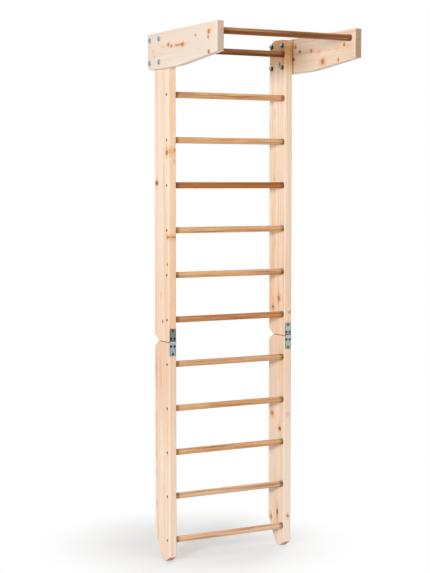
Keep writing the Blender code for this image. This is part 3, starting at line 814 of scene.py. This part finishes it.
def spruce(board, lengthwise, colours):
    """Sawn spruce: year rings about a pith near the board, fibres, knots and end grain."""
    draw = random.Random(board)
    timber = TIMBER[board]
    material, shader, place = new_material(board + "_spruce")
    low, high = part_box(board)
    across = Z_AXIS if lengthwise.y else Y_AXIS
    crosswise = X_AXIS + across
    pith = (low + high) / 2 + X_AXIS * timber.pith_through + across * timber.pith_across
    start = noise_start(draw)

    def stretched(wide, long):
        return place.vector("MULTIPLY", crosswise * wide + lengthwise * long).vector("ADD", start)

    wander = stretched(2.0, 0.55).stray(1.0, 1.5, EVENLY * RING_WANDER)
    ripple = stretched(34.0, 5.0).stray(1.0, 2.0, EVENLY * RING_RIPPLE)
    radial = place.vector("SUBTRACT", pith).vector("ADD", wander).vector("ADD", ripple)
    radius = radial.vector("MULTIPLY", crosswise).length()

    knots, nearest = knot_fields(place, board, lengthwise)
    rings = (radius + nearest.step(4.2, 0.5) * KNOT_BULGE) / draw.uniform(*RING_WIDTHS)
    year = place.math("FLOOR", rings)
    phase = rings - year
    strength = year.node("ShaderNodeTexWhiteNoise", {"noise_dimensions": "1D"}, {"W": year + start.x})
    late = phase.between(0.25, 0.92, 0.95, 1.0) * (0.35 + 0.65 * strength)

    fibre = stretched(900.0, 14.0).noise(1.0, 3.0)
    flecks = stretched(240.0, 9.0).noise(1.0, 2.0)
    tone = stretched(7.0, 1.6).noise(1.0, 3.0)
    streak = stretched(60.0, 1.1).noise(1.0, 2.0)
    band = stretched(42.0, 0.9).noise(1.0, 3.0)
    line = stretched(150.0, 1.2).noise(1.0, 2.0)

    warm = tone.step(0.45, 0.75) * timber.warmth + streak.step(0.58, 0.76) * timber.warmth
    front = facing(place, across).step(0.70, 0.98)
    if timber.edge > 0:
        warm = warm + front * timber.edge
    wood = (late * timber.rings).mix(solid(colours.spruce), solid(colours.spruce_ring))
    wood = (band.step(0.52, 0.36) * 0.60).mix(wood, solid(colours.spruce_pale))
    wood = (band.step(0.52, 0.68) * 0.42).mix(wood, solid(colours.spruce_ring))
    wood = warm.mix(wood, solid(colours.spruce_warm))
    wood = (line.step(0.57, 0.70) * timber.streaks).mix(wood, solid(colours.spruce_ring))
    if timber.grey:
        greyed = (tone.step(0.75, 0.35) + 0.3) * timber.grey
        wood = greyed.mix(wood, solid(colours.spruce_grey))
    wood = (fibre.step(0.35, 0.70) * 0.25).mix(wood, grey(0.88), "MULTIPLY")
    wood = (flecks.step(0.62, 0.80) * 0.25).mix(wood, solid(colours.spruce_ring))
    if timber.edge < 0:
        wood = (front * -timber.edge).mix(wood, solid(colours.spruce_pale))

    rough = 0.50 + 0.10 * fibre - 0.08 * late
    height = late * 0.35 + fibre * 0.30
    knot_rings = place.math("SINE", nearest * 16.0) * 0.5 + 0.5
    if "streak" in knots:
        wood = (knots["streak"][1].step(1.2, 0.1) * STREAK_TONE).mix(wood, solid(colours.knot_halo))
    for shade, (halo, core, rim) in KNOT_TONES.items():
        if shade not in knots:
            continue
        field, around = knots[shade]
        inside = field.step(1.10, 0.75)
        ring = field.between(0.62, 0.92, 1.0, 1.30)
        tint = {"faint": colours.knot_halo, "brown": colours.knot_brown, "dark": colours.knot_dark}[shade]
        wood = (around.step(2.2, 0.8) * halo).mix(wood, solid(colours.knot_halo))
        wood = (inside * (core - 0.20 * knot_rings)).mix(wood, solid(tint))
        wood = (ring * rim).mix(wood, solid(colours.knot_dark))
        rough = rough - 0.12 * inside
        height = height + 0.5 * inside

    # Tinted bands: darker, warmer wood by the joint, painted warm shade where shadows fall, and painted
    # shade in corners and at a stile's top
    for stain in STAINS_AND_SHADES.get(board, ()):
        banded = place.part(stain.axis).between(stain.start, stain.full, stain.full, stain.end)
        wood = (banded * stain.most).mix(wood, solid(getattr(colours, stain.finish)), "MULTIPLY")
    # Painted shade in the sunk holes of the rung screws, darkening the wood round each
    holes = [
        place.vector("SUBTRACT", hole).length() for _, hole, _, rung in rung_screw_places()
        if hole.x in (low.x, high.x) and body_of(rung) == body_of(board)
    ]
    if holes:
        hole_shade = smallest(holes).step(SCREW_HOLE_SHADE_REACH, SCREW_HOLE_SHADE_REACH * 0.8)
        wood = (hole_shade * 0.85).mix(wood, solid(colours.knot_dark))
    if timber.dull:
        wood = ((0.7 + 0.6 * tone) * timber.dull).mix(wood, solid(colours.spruce_dull), "MULTIPLY")
    end = facing(place, lengthwise).step(0.62, 0.86) * timber.end
    wood = end.mix(wood, solid(colours.end_grain), "MULTIPLY")
    rough = rough + 0.15 * end
    feed(shader, Base_Color=wood, Roughness=rough, Normal=bump(height, BOARD_RELIEF, 0.6))
    feed(shader, Specular_IOR_Level=0.35)
    return material


def oiled_rod(name, rod, grip, colours):
    """Brown oiled wood with dark streaks along X, painted shade where it enters a board, grip from the
    middle.
    """
    draw = random.Random(name)
    material, shader, place = new_material(name + "_oiled")
    start = noise_start(draw)

    def stretched(along, across):
        return place.vector("MULTIPLY", (along, across, across)).vector("ADD", start)

    bent = place.vector("ADD", stretched(1.6, 9.0).stray(1.0, 2.0, (0.0, ROD_WAVE, ROD_WAVE)))
    rings = bent.vector("MULTIPLY", (0.0, 330.0, 210.0)).vector("ADD", start).noise(1.0, 2.0)
    streak = stretched(3.0, 120.0).noise(1.0, 3.0)
    band = stretched(1.4, 95.0).vector("ADD", NOISE_MOVE).noise(1.0, 2.0)
    fibre = stretched(22.0, 900.0).noise(1.0, 3.0)
    pores = stretched(60.0, 1500.0).noise(1.0, 1.0).step(0.63, 0.72)
    tone = stretched(2.4, 6.0).noise(1.0, 3.0)

    from_middle = abs(place.part("X"))
    warm = rod.warm * (0.6 + 0.8 * tone) + 0.45 * rings.step(0.46, 0.64)
    dark = rod.dark * (0.35 + 1.3 * band.step(0.36, 0.62)) + 0.62 * streak.step(0.50, 0.70)
    # Painted shade near each end, where the rod enters a board
    shade_start, shade_full = (grip - reach for reach in ROD_END_SHADE)
    dark = dark + 0.70 * from_middle.step(shade_start, shade_full)
    wood = warm.mix(solid(colours.rung_light), solid(colours.rung_warm))
    if rod.pale:
        wood = (rod.pale * (0.8 + 0.4 * tone)).mix(wood, solid(colours.rung_pale))
    wood = dark.mix(wood, solid(colours.rung_dark))
    wood = (fibre.step(0.35, 0.70) * 0.30).mix(wood, grey(0.76), "MULTIPLY")
    wood = (pores * 0.55).mix(wood, solid(colours.rung_dark))
    rough = 0.40 + 0.16 * fibre + 0.10 * tone
    height = fibre * 0.5 - pores * 0.8
    feed(shader, Base_Color=wood, Roughness=rough, Normal=bump(height, ROD_RELIEF, 0.5))
    feed(shader, Specular_IOR_Level=0.22)
    return material


def zinc_plate(name, colours, base, dull, shaded_circles=(), shade_from=None, leaf=None):
    """Zinc plate: cloudy dull patches, fine scratches and a pale bloom.

    It is darkened with painted shade round (place, radius) pairs, further than the given distance to the
    left or right, and along the rim of a hinge leaf that fills a box. The leaf's knuckles get a painted
    highlight, with painted shade above them.
    """
    material, shader, place = new_material(name)
    dark = solid(colours.zinc_shade)
    cloud = place.noise(70.0, 3.0)
    cells = {"Vector": place, "Scale": 420.0}
    spangle = place.node("ShaderNodeTexVoronoi", {"feature": "F1"}, cells, "Color").part("X")
    scratch = place.vector("MULTIPLY", (300.0, 2600.0, 2600.0)).noise(1.0, 2.0)
    bloom = place.noise(260.0, 4.0)
    plate = (cloud.step(0.35, 0.70) * 0.7).mix(solid(base), solid(dull))
    plate = (bloom.step(0.55, 0.75) * 0.4).mix(plate, solid(colours.zinc_bloom))
    plate = (spangle * 0.12).mix(plate, grey(0.55))
    # Painted shade round each sunk screw head
    for centre, radius in shaded_circles:
        away = place.vector("SUBTRACT", centre).length()
        plate = (away.step(radius, radius * 0.8) * 0.95).mix(plate, dark)
    if leaf:
        low, high = leaf
        half = (high - low) / 2
        away = place.vector("SUBTRACT", low + half)
        # Painted shade along the leaf's rim
        for axis, reach in (("X", half.x), ("Z", half.z)):
            edge = abs(away.part(axis)).step(reach - RIM_SHADE, reach)
            plate = (edge * 0.75).mix(plate, dark)
        over = place.part("Z") - HINGE_AXIS.z
        # Painted highlight on the knuckles, and painted shade above them
        plate = (over.between(*KNUCKLE_HIGHLIGHT_BAND) * 0.85).mix(plate, solid(colours.zinc_highlight))
        plate = (over.between(*KNUCKLE_SHADE_BAND) * 0.80).mix(plate, dark)
    # Painted shade on the nut's hexagon and flange
    if shade_from:
        before, past = NUT_SHADE
        out = abs(place.part("X")).step(shade_from - before, shade_from + past)
        plate = (out * 0.9).mix(plate, dark)
    rough = 0.34 + 0.20 * bloom.step(0.40, 0.75) + 0.08 * scratch
    relief = bump(scratch + bloom, ZINC_RELIEF, 0.5)
    feed(shader, Base_Color=plate, Roughness=rough, Normal=relief, Metallic=0.85)
    return material


def screw_steel(name, base, worn):
    """Screw steel with brighter rubbed patches."""
    material, shader, place = new_material(name)
    rubbed = place.noise(520.0, 3.0)
    steel = (rubbed.step(0.60, 0.80) * 0.3).mix(solid(base), solid(worn))
    rough = 0.46 + 0.22 * rubbed
    feed(shader, Base_Color=steel, Roughness=rough, Normal=bump(rubbed, STEEL_RELIEF, 0.5))
    feed(shader, Metallic=0.30, Specular_IOR_Level=0.20)
    return material


# Pieces


def screw_model(name, head, shank, reach):
    """A countersunk screw that points down from height 0, with a cross recess in its head."""
    flank = (head - shank) / 2
    tip = shank * 1.2
    model = turned(name, [
        (-reach, shank * 0.08),
        (tip - reach, shank * 0.46),
        (tip * 1.3 - reach, shank / 2),
        (-flank * 1.25, shank / 2),
        (-flank * 0.95, shank * 0.56),
        (-flank * 0.16, head / 2),
        (-flank * 0.04, head * 0.495),
        (0, head * 0.47),
    ])
    long, wide, deep = (head * share for share in CROSS_SHARES)
    for turn in (0, math.pi / 2):
        bpy.ops.mesh.primitive_cube_add(size=1, rotation=(0, 0, turn), scale=(long, wide, deep * 2))
        blade = new_piece("blade")
        with editing(blade):
            choose(blade, "FACE", lambda face: face.normal.z < -0.9)
            bpy.ops.transform.resize(value=(CROSS_TAPER, CROSS_TAPER, 1), center_override=(0, 0, -deep))
        carve(model, blade)
    smooth(model)
    return model


def rung_screw_places():
    """(name, place, outward direction, rung) of the screw at each end of each rung."""
    for rung in RUNGS:
        number = int(rung.split("_")[1])
        half = "lower" if body_of(rung) == "lower_section" else "upper"
        for side_name, side in SIDES:
            low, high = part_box(f"{side_name}_{half}_stile")
            face = high.x if side > 0 else low.x
            axis = middle(rung)
            place = Vector((face, axis.y, axis.z))
            yield f"{side_name}_rung_screw_{number:02}", place, side * X_AXIS, rung


class LADDER_OT_stiles(bpy.types.Operator):
    """Builds the four stile boards, with their sockets and screw recesses"""

    bl_idname = "ladder.build_stiles"
    bl_label = "Build stiles"

    def execute(self, context):
        sizes = context.scene.ladder_boards
        metal = context.scene.ladder_hardware
        for side_name, side in SIDES:
            for half, up in HALVES:
                node = f"{side_name}_{half}_stile"
                piece = self.board(node, up, sizes)
                self.drill(piece, side, body_of(node), metal)
                smooth(piece)
                material = spruce(node, Z_AXIS, context.scene.ladder_finishes)
                settle(piece, body_of(node), "spruce", material, node)
        return {"FINISHED"}

    def board(self, node, up, sizes):
        low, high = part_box(node)
        piece = plank(node + "_board", low, high)
        front, back = low.y, high.y
        deep, tall = sizes.corner_depth, sizes.corner_height
        if up > 0:
            saw(piece, (front, high.z - tall), (front + deep, high.z))
            saw(piece, (back - deep, high.z), (back, high.z - tall))
            saw(piece, (back, low.z + tall), (back - deep, low.z))
        else:
            saw(piece, (back - deep, high.z), (back, high.z - tall))
            saw(piece, (back, low.z + sizes.foot_taper), (front + deep + sizes.foot_flat, low.z))
            saw(piece, (front + deep, low.z), (front, low.z + tall))
        ease(piece, sizes.edge_radius, EASE_STEPS)
        return piece

    def drill(self, piece, side, body, metal):
        rung_low, rung_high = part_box(RUNGS[0])
        socket = (rung_high.z - rung_low.z) / 2 + FIT_GAP
        depth = rung_high.x + FIT_GAP
        inner = min(abs(vert.co.x) for vert in piece.data.vertices)
        sunk = metal.rung_screw_head / 2 + FIT_GAP
        shank = metal.rung_screw_shank / 2
        drill = turned("socket", [(inner - OVERCUT, socket), (depth, socket)], FINE_SIDES)
        sink = turned("recess", [
            (-sunk - metal.rung_screw_depth, shank),
            (shank - sunk - metal.rung_screw_depth, shank),
            (-metal.rung_screw_depth, sunk),
            (OVERCUT, sunk),
        ])
        tools = []
        for _, place, outward, rung in rung_screw_places():
            if outward.x * side < 0 or body_of(rung) != body:
                continue
            tools.append(copy_of(drill, "tool", Vector((0, place.y, place.z)), outward))
            tools.append(copy_of(sink, "tool", place, outward))
        bpy.data.objects.remove(drill)
        bpy.data.objects.remove(sink)
        carve(piece, joined(tools))


class LADDER_OT_arms(bpy.types.Operator):
    """Builds the two arms that carry the pull-up bar"""

    bl_idname = "ladder.build_arms"
    bl_label = "Build arms"

    def execute(self, context):
        sizes = context.scene.ladder_boards
        bar_low, bar_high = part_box("pull_up_bar")
        socket = (bar_high.z - bar_low.z) / 2 + FIT_GAP
        for side_name, side in SIDES:
            node = f"{side_name}_arm"
            low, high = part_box(node)
            piece = plank(node + "_board", low, high)
            turn = STILE_FRONT - sizes.level_reach
            rise = high.z - low.z - sizes.nose_height
            saw(piece, (turn, low.z), (low.y, low.z + rise))
            bend = math.atan2(rise, turn - low.y)
            round_edge(piece, (turn, low.z), sizes.belly_radius * math.tan(bend / 2))
            round_edge(piece, (high.y, low.z), sizes.heel_radius)
            ease(piece, sizes.edge_radius, EASE_STEPS)
            drill = turned("drill", [(0, socket), (bar_high.x + FIT_GAP, socket)], FINE_SIDES)
            bar = middle("pull_up_bar")
            carve(piece, copy_of(drill, "tool", Vector((0, bar.y, bar.z)), side * X_AXIS))
            bpy.data.objects.remove(drill)
            head = (BAR_SCREW_HIGH.z - BAR_SCREW_LOW.z) / 2 + FIT_GAP
            place = middle(f"{side_name}_bar_screw")
            place.y = low.y
            sink = turned("recess", [(-head, head * 0.1), (0, head), (OVERCUT, head)])
            carve(piece, copy_of(sink, "tool", place, -Y_AXIS))
            bpy.data.objects.remove(sink)
            smooth(piece)
            material = spruce(node, Y_AXIS, context.scene.ladder_finishes)
            settle(piece, body_of(node), "spruce", material, node)
        return {"FINISHED"}


class LADDER_OT_rungs(bpy.types.Operator):
    """Builds the rungs and the pull-up bar as round rods with chamfered ends"""

    bl_idname = "ladder.build_rungs"
    bl_label = "Build rungs"

    def execute(self, context):
        for node, rod in zip([*RUNGS, "pull_up_bar"], RODS):
            low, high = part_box(node)
            radius = (high.z - low.z) / 2
            half = (high.x - low.x) / 2
            chamfer = radius * ROD_CHAMFER
            model = turned(node + "_model", [
                (-half, radius - chamfer),
                (chamfer - half, radius),
                (half - chamfer, radius),
                (half, radius - chamfer),
            ], FINE_SIDES)
            piece = copy_of(model, node + "_rod", middle(node), X_AXIS)
            bpy.data.objects.remove(model)
            smooth(piece)
            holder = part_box("right_arm" if node == "pull_up_bar" else "right_upper_stile")
            material = oiled_rod(node, rod, holder[0].x, context.scene.ladder_finishes)
            settle(piece, body_of(node), "rung_wood", material, node)
        return {"FINISHED"}


class LADDER_OT_bolts(bpy.types.Operator):
    """Builds the carriage bolts through the arms and the cap nuts inside"""

    bl_idname = "ladder.build_bolts"
    bl_label = "Build bolts"

    def execute(self, context):
        metal = context.scene.ladder_hardware
        finishes = context.scene.ladder_finishes
        bright = zinc_plate("bolt_zinc", finishes, finishes.zinc_bright, finishes.zinc)
        dull = self.nut_plate(metal, finishes)
        bolt = self.bolt(metal)
        nut = self.nut(metal)
        for side_name, side in SIDES:
            for number in BOLTS:
                node = f"{side_name}_arm_bolt_{number}"
                centre = middle(node)
                face = Vector((side * ARM_FACE, centre.y, centre.z))
                spin = NUT_TURN * number
                piece = copy_of(bolt, node + "_zinc", face, side * X_AXIS)
                settle(piece, body_of(node), "zinc", bright, node)
                node = f"{side_name}_cap_nut_{number}"
                face = Vector((side * NUT_HIGH.x, centre.y, centre.z))
                piece = copy_of(nut, node + "_zinc", face, -side * X_AXIS, spin)
                settle(piece, body_of(node), "zinc", dull, node)
        bpy.data.objects.remove(bolt)
        bpy.data.objects.remove(nut)
        return {"FINISHED"}

    def nut_plate(self, metal, finishes):
        """Zinc plate, bright on a nut's dome, with painted shade on its hexagon and flange."""
        flat = NUT_HIGH.x - metal.nut_flange - metal.nut_hex
        return zinc_plate("nut_zinc", finishes, finishes.zinc_bright, finishes.zinc, shade_from=flat)

    def bolt(self, metal):
        head = (BOLT_HIGH.z - BOLT_LOW.z) / 2
        crown = BOLT_HIGH.x - ARM_FACE
        end = BOLT_LOW.x - ARM_FACE
        shank = metal.bolt_shank / 2
        rim = FIT_GAP + metal.bolt_rim
        model = turned("bolt", [
            (end, shank * 0.8),
            (end + shank * 0.2, shank),
            (FIT_GAP, shank),
            (FIT_GAP, head * 0.97),
            (FIT_GAP + metal.bolt_rim * 0.3, head),
            (rim, head),
            *dome(rim, head, crown - rim),
        ], FINE_SIDES)
        bpy.ops.mesh.primitive_cube_add(
            size=1, location=(0, 0, (FIT_GAP * 2 - metal.bolt_neck_depth) / 2),
            scale=(metal.bolt_neck, metal.bolt_neck, metal.bolt_neck_depth),
        )
        carve(model, new_piece("neck"), "UNION")
        smooth(model)
        return model

    def nut(self, metal):
        flange = (NUT_HIGH.z - NUT_LOW.z) / 2
        top = NUT_HIGH.x - NUT_LOW.x
        flange_top = metal.nut_flange
        hex_top = flange_top + metal.nut_hex
        corner = metal.nut_flats / 2 / math.cos(math.pi / HEX_SIDES)
        model = turned("nut", [
            (0, flange * 0.96),
            (flange_top * 0.25, flange),
            (flange_top * 0.75, flange),
            (flange_top, flange * 0.97),
        ], FINE_SIDES)
        prism = turned("prism", [(flange_top * 0.5, corner), (hex_top, corner)], HEX_SIDES)
        cone = turned("cone", [
            (0, corner * 1.1),
            (hex_top - metal.nut_hex * 0.22, corner),
            (hex_top, metal.nut_flats * 0.5 * 0.98),
        ], FINE_SIDES)
        carve(prism, cone, "INTERSECT")
        carve(model, prism, "UNION")
        radius = metal.nut_dome / 2
        cap = turned("cap", [
            (flange_top, radius),
            (hex_top, radius),
            *dome(hex_top, radius, top - hex_top),
        ], FINE_SIDES)
        carve(model, cap, "UNION")
        smooth(model)
        return model


class LADDER_OT_hinges(bpy.types.Operator):
    """Builds the strap hinges: rolled leaves and their pins"""

    bl_idname = "ladder.build_hinges"
    bl_label = "Build hinges"

    def execute(self, context):
        metal = context.scene.ladder_hardware
        finishes = context.scene.ladder_finishes
        plates = {
            "left_upper": (finishes.zinc_dull, finishes.zinc_dull),
            "left_lower": (finishes.zinc_bright, finishes.zinc),
            "right_upper": (finishes.zinc_green, finishes.zinc),
            "right_lower": (finishes.zinc_green, finishes.zinc),
        }
        pin_zinc = zinc_plate("pin_zinc", finishes, finishes.zinc, finishes.zinc_dull)
        pin_radius = (PIN_HIGH.z - PIN_LOW.z) / 2
        half = (PIN_HIGH.x - PIN_LOW.x) / 2
        crown = pin_radius * PIN_CROWN
        pin = turned("pin", [
            *[(-height, radius) for height, radius in reversed(dome(half - crown, pin_radius, crown))],
            (crown - half, pin_radius),
            (half - crown, pin_radius),
            *dome(half - crown, pin_radius, crown),
        ])
        smooth(pin)
        for side_name, _ in SIDES:
            node = f"{side_name}_hinge_pin"
            piece = copy_of(pin, node + "_zinc", middle(node), X_AXIS)
            settle(piece, body_of(node), "zinc", pin_zinc, node)
            for half_name, up in HALVES:
                node = f"{side_name}_hinge_{half_name}_leaf"
                piece = self.leaf(node, up, metal)
                place = Vector((middle(node).x, HINGE_AXIS.y, HINGE_AXIS.z))
                piece.data.transform(Matrix.Translation(place))
                self.countersink(piece, side_name, half_name)
                smooth(piece)
                zinc = zinc_plate(
                    node + "_plate", finishes, *plates[f"{side_name}_{half_name}"],
                    self.screw_rims(side_name, half_name), leaf=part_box(node),
                )
                settle(piece, body_of(node), "zinc", zinc, node)
        bpy.data.objects.remove(pin)
        return {"FINISHED"}

    def leaf(self, node, up, metal):
        """A leaf about the hinge's axis: a sheet with its tongues rolled round the pin."""
        wide = LEAF_HIGH.x - LEAF_LOW.x
        reach = LEAF_HIGH.z - HINGE_AXIS.z
        sheet_y = LEAF_HIGH.y - HINGE_AXIS.y - metal.sheet / 2
        notch = metal.leaf_notch
        knuckle = metal.middle_knuckle / 2 + (FIT_GAP if up > 0 else 0)
        bpy.ops.mesh.primitive_plane_add(
            size=1, location=(0, sheet_y, up * (reach + notch) / 2), rotation=(math.pi / 2, 0, 0)
        )
        bpy.context.object.scale = (wide, reach - notch, 1)
        piece = new_piece(node + "_zinc")

        def tongue(edge):
            centre = (edge.verts[0].co + edge.verts[1].co) / 2
            at_notch = all(abs(vert.co.z - up * notch) < FIT_GAP for vert in edge.verts)
            return at_notch and (abs(centre.x) > knuckle) == (up > 0)

        def end_corner(vert):
            return abs(vert.co.z) > reach - FIT_GAP and abs(vert.co.x) > knuckle * 1.5

        with editing(piece):
            for side in (-1, 1):
                bpy.ops.mesh.select_all(action="SELECT")
                bpy.ops.mesh.bisect(plane_co=(side * knuckle, 0, 0), plane_no=(1, 0, 0))
            choose(piece, "VERT", end_corner)
            bpy.ops.mesh.bevel(offset=metal.leaf_corner, segments=ARC_STEPS, affect="VERTICES")
            choose(piece, "EDGE", tongue)
            bpy.ops.mesh.extrude_region_move(TRANSFORM_OT_translate={"value": (0, 0, -up * notch)})
            bpy.ops.mesh.spin(
                steps=3 * ARC_STEPS, angle=up * metal.roll, center=(0, 0, 0), axis=(1, 0, 0)
            )
            bpy.ops.mesh.select_all(action="SELECT")
            bpy.ops.mesh.remove_doubles(threshold=FIT_GAP / 10)
            bpy.ops.mesh.normals_make_consistent(inside=False)
        apply_modifier(piece, "SOLIDIFY", thickness=metal.sheet, offset=0.0, use_even_offset=True)
        ease(piece, metal.sheet * SHEET_EASE, 2, SHEET_ANGLE)
        return piece

    def screw_rims(self, side_name, half_name):
        """Middle of each screw's head and the radius of the painted shade round it."""
        rim = (HINGE_SCREW_HIGH.z - HINGE_SCREW_LOW.z) * SCREW_SHADE_SHARE
        for number in LEAF_SCREWS:
            yield front_of(f"{side_name}_hinge_{half_name}_screw_{number}"), rim

    def countersink(self, piece, side_name, half_name):
        head = (HINGE_SCREW_HIGH.z - HINGE_SCREW_LOW.z) / 2 + FIT_GAP
        hole = head * 0.52
        sink = turned("recess", [(-head, hole), (hole - head, hole), (0, head), (OVERCUT, head)])
        tools = []
        for number in LEAF_SCREWS:
            place = front_of(f"{side_name}_hinge_{half_name}_screw_{number}")
            tools.append(copy_of(sink, "tool", place, -Y_AXIS))
        bpy.data.objects.remove(sink)
        carve(piece, joined(tools))


class LADDER_OT_screws(bpy.types.Operator):
    """Builds the screws of the hinges, the pull-up bar and the rungs"""

    bl_idname = "ladder.build_screws"
    bl_label = "Build screws"

    def execute(self, context):
        metal = context.scene.ladder_hardware
        finishes = context.scene.ladder_finishes
        dark = screw_steel("dark_steel", finishes.steel, finishes.steel_worn)
        pale = screw_steel("pale_steel", finishes.steel_pale, finishes.steel_worn)
        turns = random.Random("screw turns")
        hinge = screw_model(
            "hinge_screw", HINGE_SCREW_HIGH.z - HINGE_SCREW_LOW.z, metal.hinge_screw_shank,
            HINGE_SCREW_HIGH.y - HINGE_SCREW_LOW.y,
        )
        bar = screw_model(
            "bar_screw", BAR_SCREW_HIGH.z - BAR_SCREW_LOW.z, metal.bar_screw_shank,
            BAR_SCREW_HIGH.y - BAR_SCREW_LOW.y,
        )
        rung = screw_model(
            "rung_screw", metal.rung_screw_head, metal.rung_screw_shank, metal.rung_screw_length
        )
        for node in sorted(frame["nodes"]):
            if "_screw" not in node:
                continue
            model = hinge if "hinge" in node else bar
            piece = copy_of(model, node + "_steel", front_of(node), -Y_AXIS, turns.uniform(0, math.pi))
            settle(piece, body_of(node), "dark_steel", dark if model is hinge else pale, node)
        for name, place, outward, held in rung_screw_places():
            place = place - outward * metal.rung_screw_depth
            piece = copy_of(rung, name, place, outward, turns.uniform(0, math.pi))
            settle(piece, body_of(held), "dark_steel", dark)
        for model in (hinge, bar, rung):
            bpy.data.objects.remove(model)
        return {"FINISHED"}


class LADDER_OT_stage(bpy.types.Operator):
    """Sets up the camera, the pale floor and the soft light"""

    bl_idname = "ladder.build_stage"
    bl_label = "Build stage"

    def execute(self, context):
        settings = context.scene.ladder_stage
        context.scene.view_settings.view_transform = "Standard"
        self.camera(context, settings)
        self.floor(settings)
        for name, (place, size) in LAMPS.items():
            self.lamp(name, place, size, getattr(settings, name))
        bpy.data.objects["key_light"].data.color = settings.key_tint
        self.sky(context, settings)
        return {"FINISHED"}

    def camera(self, context, settings):
        bpy.ops.object.camera_add(
            location=settings.camera,
            rotation=Euler((math.pi / 2 - settings.pitch, 0, -settings.yaw)),
        )
        camera = context.object
        camera.data.lens = settings.lens
        camera.data.sensor_width = SENSOR_WIDTH
        context.scene.camera = camera

    def floor(self, settings):
        bpy.ops.mesh.primitive_circle_add(vertices=FINE_SIDES, radius=FLOOR_RADIUS, fill_type="NGON")
        floor = new_piece("floor")
        floor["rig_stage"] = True
        material, shader, place = new_material("pale_floor")
        tree = place.tree
        mottle = place.noise(9.0, 4.0)
        tint = (mottle * 0.06).mix(solid(settings.floor), grey(0.80))
        feed(shader, Base_Color=tint, Roughness=0.75)
        far = place.vector("SUBTRACT", SHADE_MIDDLE).length().step(*SHADE_FADE)
        far = far * (1 - SHADE_WHITE) + SHADE_WHITE
        white = tree.nodes.new("ShaderNodeEmission")
        mix = tree.nodes.new("ShaderNodeMixShader")
        tree.links.new((far * background_rays(tree)).socket, mix.inputs[0])
        tree.links.new(shader.outputs[0], mix.inputs[1])
        tree.links.new(white.outputs[0], mix.inputs[2])
        tree.links.new(mix.outputs[0], tree.nodes["Material Output"].inputs["Surface"])
        floor.data.materials.append(material)

    def lamp(self, name, place, size, power):
        turn = (LAMP_AIM - Vector(place)).to_track_quat("-Z", "Y").to_euler()
        bpy.ops.object.light_add(type="AREA", location=place, rotation=turn)
        lamp = bpy.context.object
        lamp.name = name + "_light"
        lamp.data.shape = "RECTANGLE"
        lamp.data.size, lamp.data.size_y = size
        lamp.data.energy = power

    def sky(self, context, settings):
        world = bpy.data.worlds.new("even_sky")
        context.scene.world = world
        world.use_nodes = True
        tree = world.node_tree
        light = solid(settings.sky * channel for channel in settings.sky_tint)
        background = tree.nodes["Background"]
        tree.links.new(background_rays(tree).mix(light, grey(1.0)).socket, background.inputs["Color"])


class LADDER_PT_looks(bpy.types.Panel):
    """Lists the ladder's builders and their settings"""

    bl_label = "Folding wall ladder"
    bl_idname = "LADDER_PT_looks"
    bl_space_type = "VIEW_3D"
    bl_region_type = "UI"
    bl_category = "Ladder"

    def draw(self, context):
        for operator in OPERATORS:
            self.layout.operator(operator.bl_idname)
        for group in GROUPS:
            settings = getattr(context.scene, group)
            box = self.layout.box()
            for name in settings.__annotations__:
                box.prop(settings, name)


OPERATORS = (
    LADDER_OT_stage,
    LADDER_OT_stiles,
    LADDER_OT_arms,
    LADDER_OT_rungs,
    LADDER_OT_bolts,
    LADDER_OT_hinges,
    LADDER_OT_screws,
)
GROUPS = {
    "ladder_boards": BoardSizes,
    "ladder_hardware": HardwareSizes,
    "ladder_finishes": Finishes,
    "ladder_stage": StageSettings,
}


def register():
    for group, kind in GROUPS.items():
        bpy.utils.register_class(kind)
        setattr(bpy.types.Scene, group, PointerProperty(type=kind))
    for kind in (*OPERATORS, LADDER_PT_looks):
        bpy.utils.register_class(kind)


def unregister():
    for kind in (LADDER_PT_looks, *reversed(OPERATORS)):
        bpy.utils.unregister_class(kind)
    for group, kind in reversed(GROUPS.items()):
        delattr(bpy.types.Scene, group)
        bpy.utils.unregister_class(kind)


def main():
    register()
    bpy.ops.object.select_all(action="DESELECT")
    bpy.ops.ladder.build_stage()
    bpy.ops.ladder.build_stiles()
    bpy.ops.ladder.build_arms()
    bpy.ops.ladder.build_rungs()
    bpy.ops.ladder.build_bolts()
    bpy.ops.ladder.build_hinges()
    bpy.ops.ladder.build_screws()
    boxes = {"cad": cad_box, "visual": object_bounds()}
    {name: [list(corner) for corner in box] for name, box in boxes.items()}


if __name__ == "__main__":
    main()
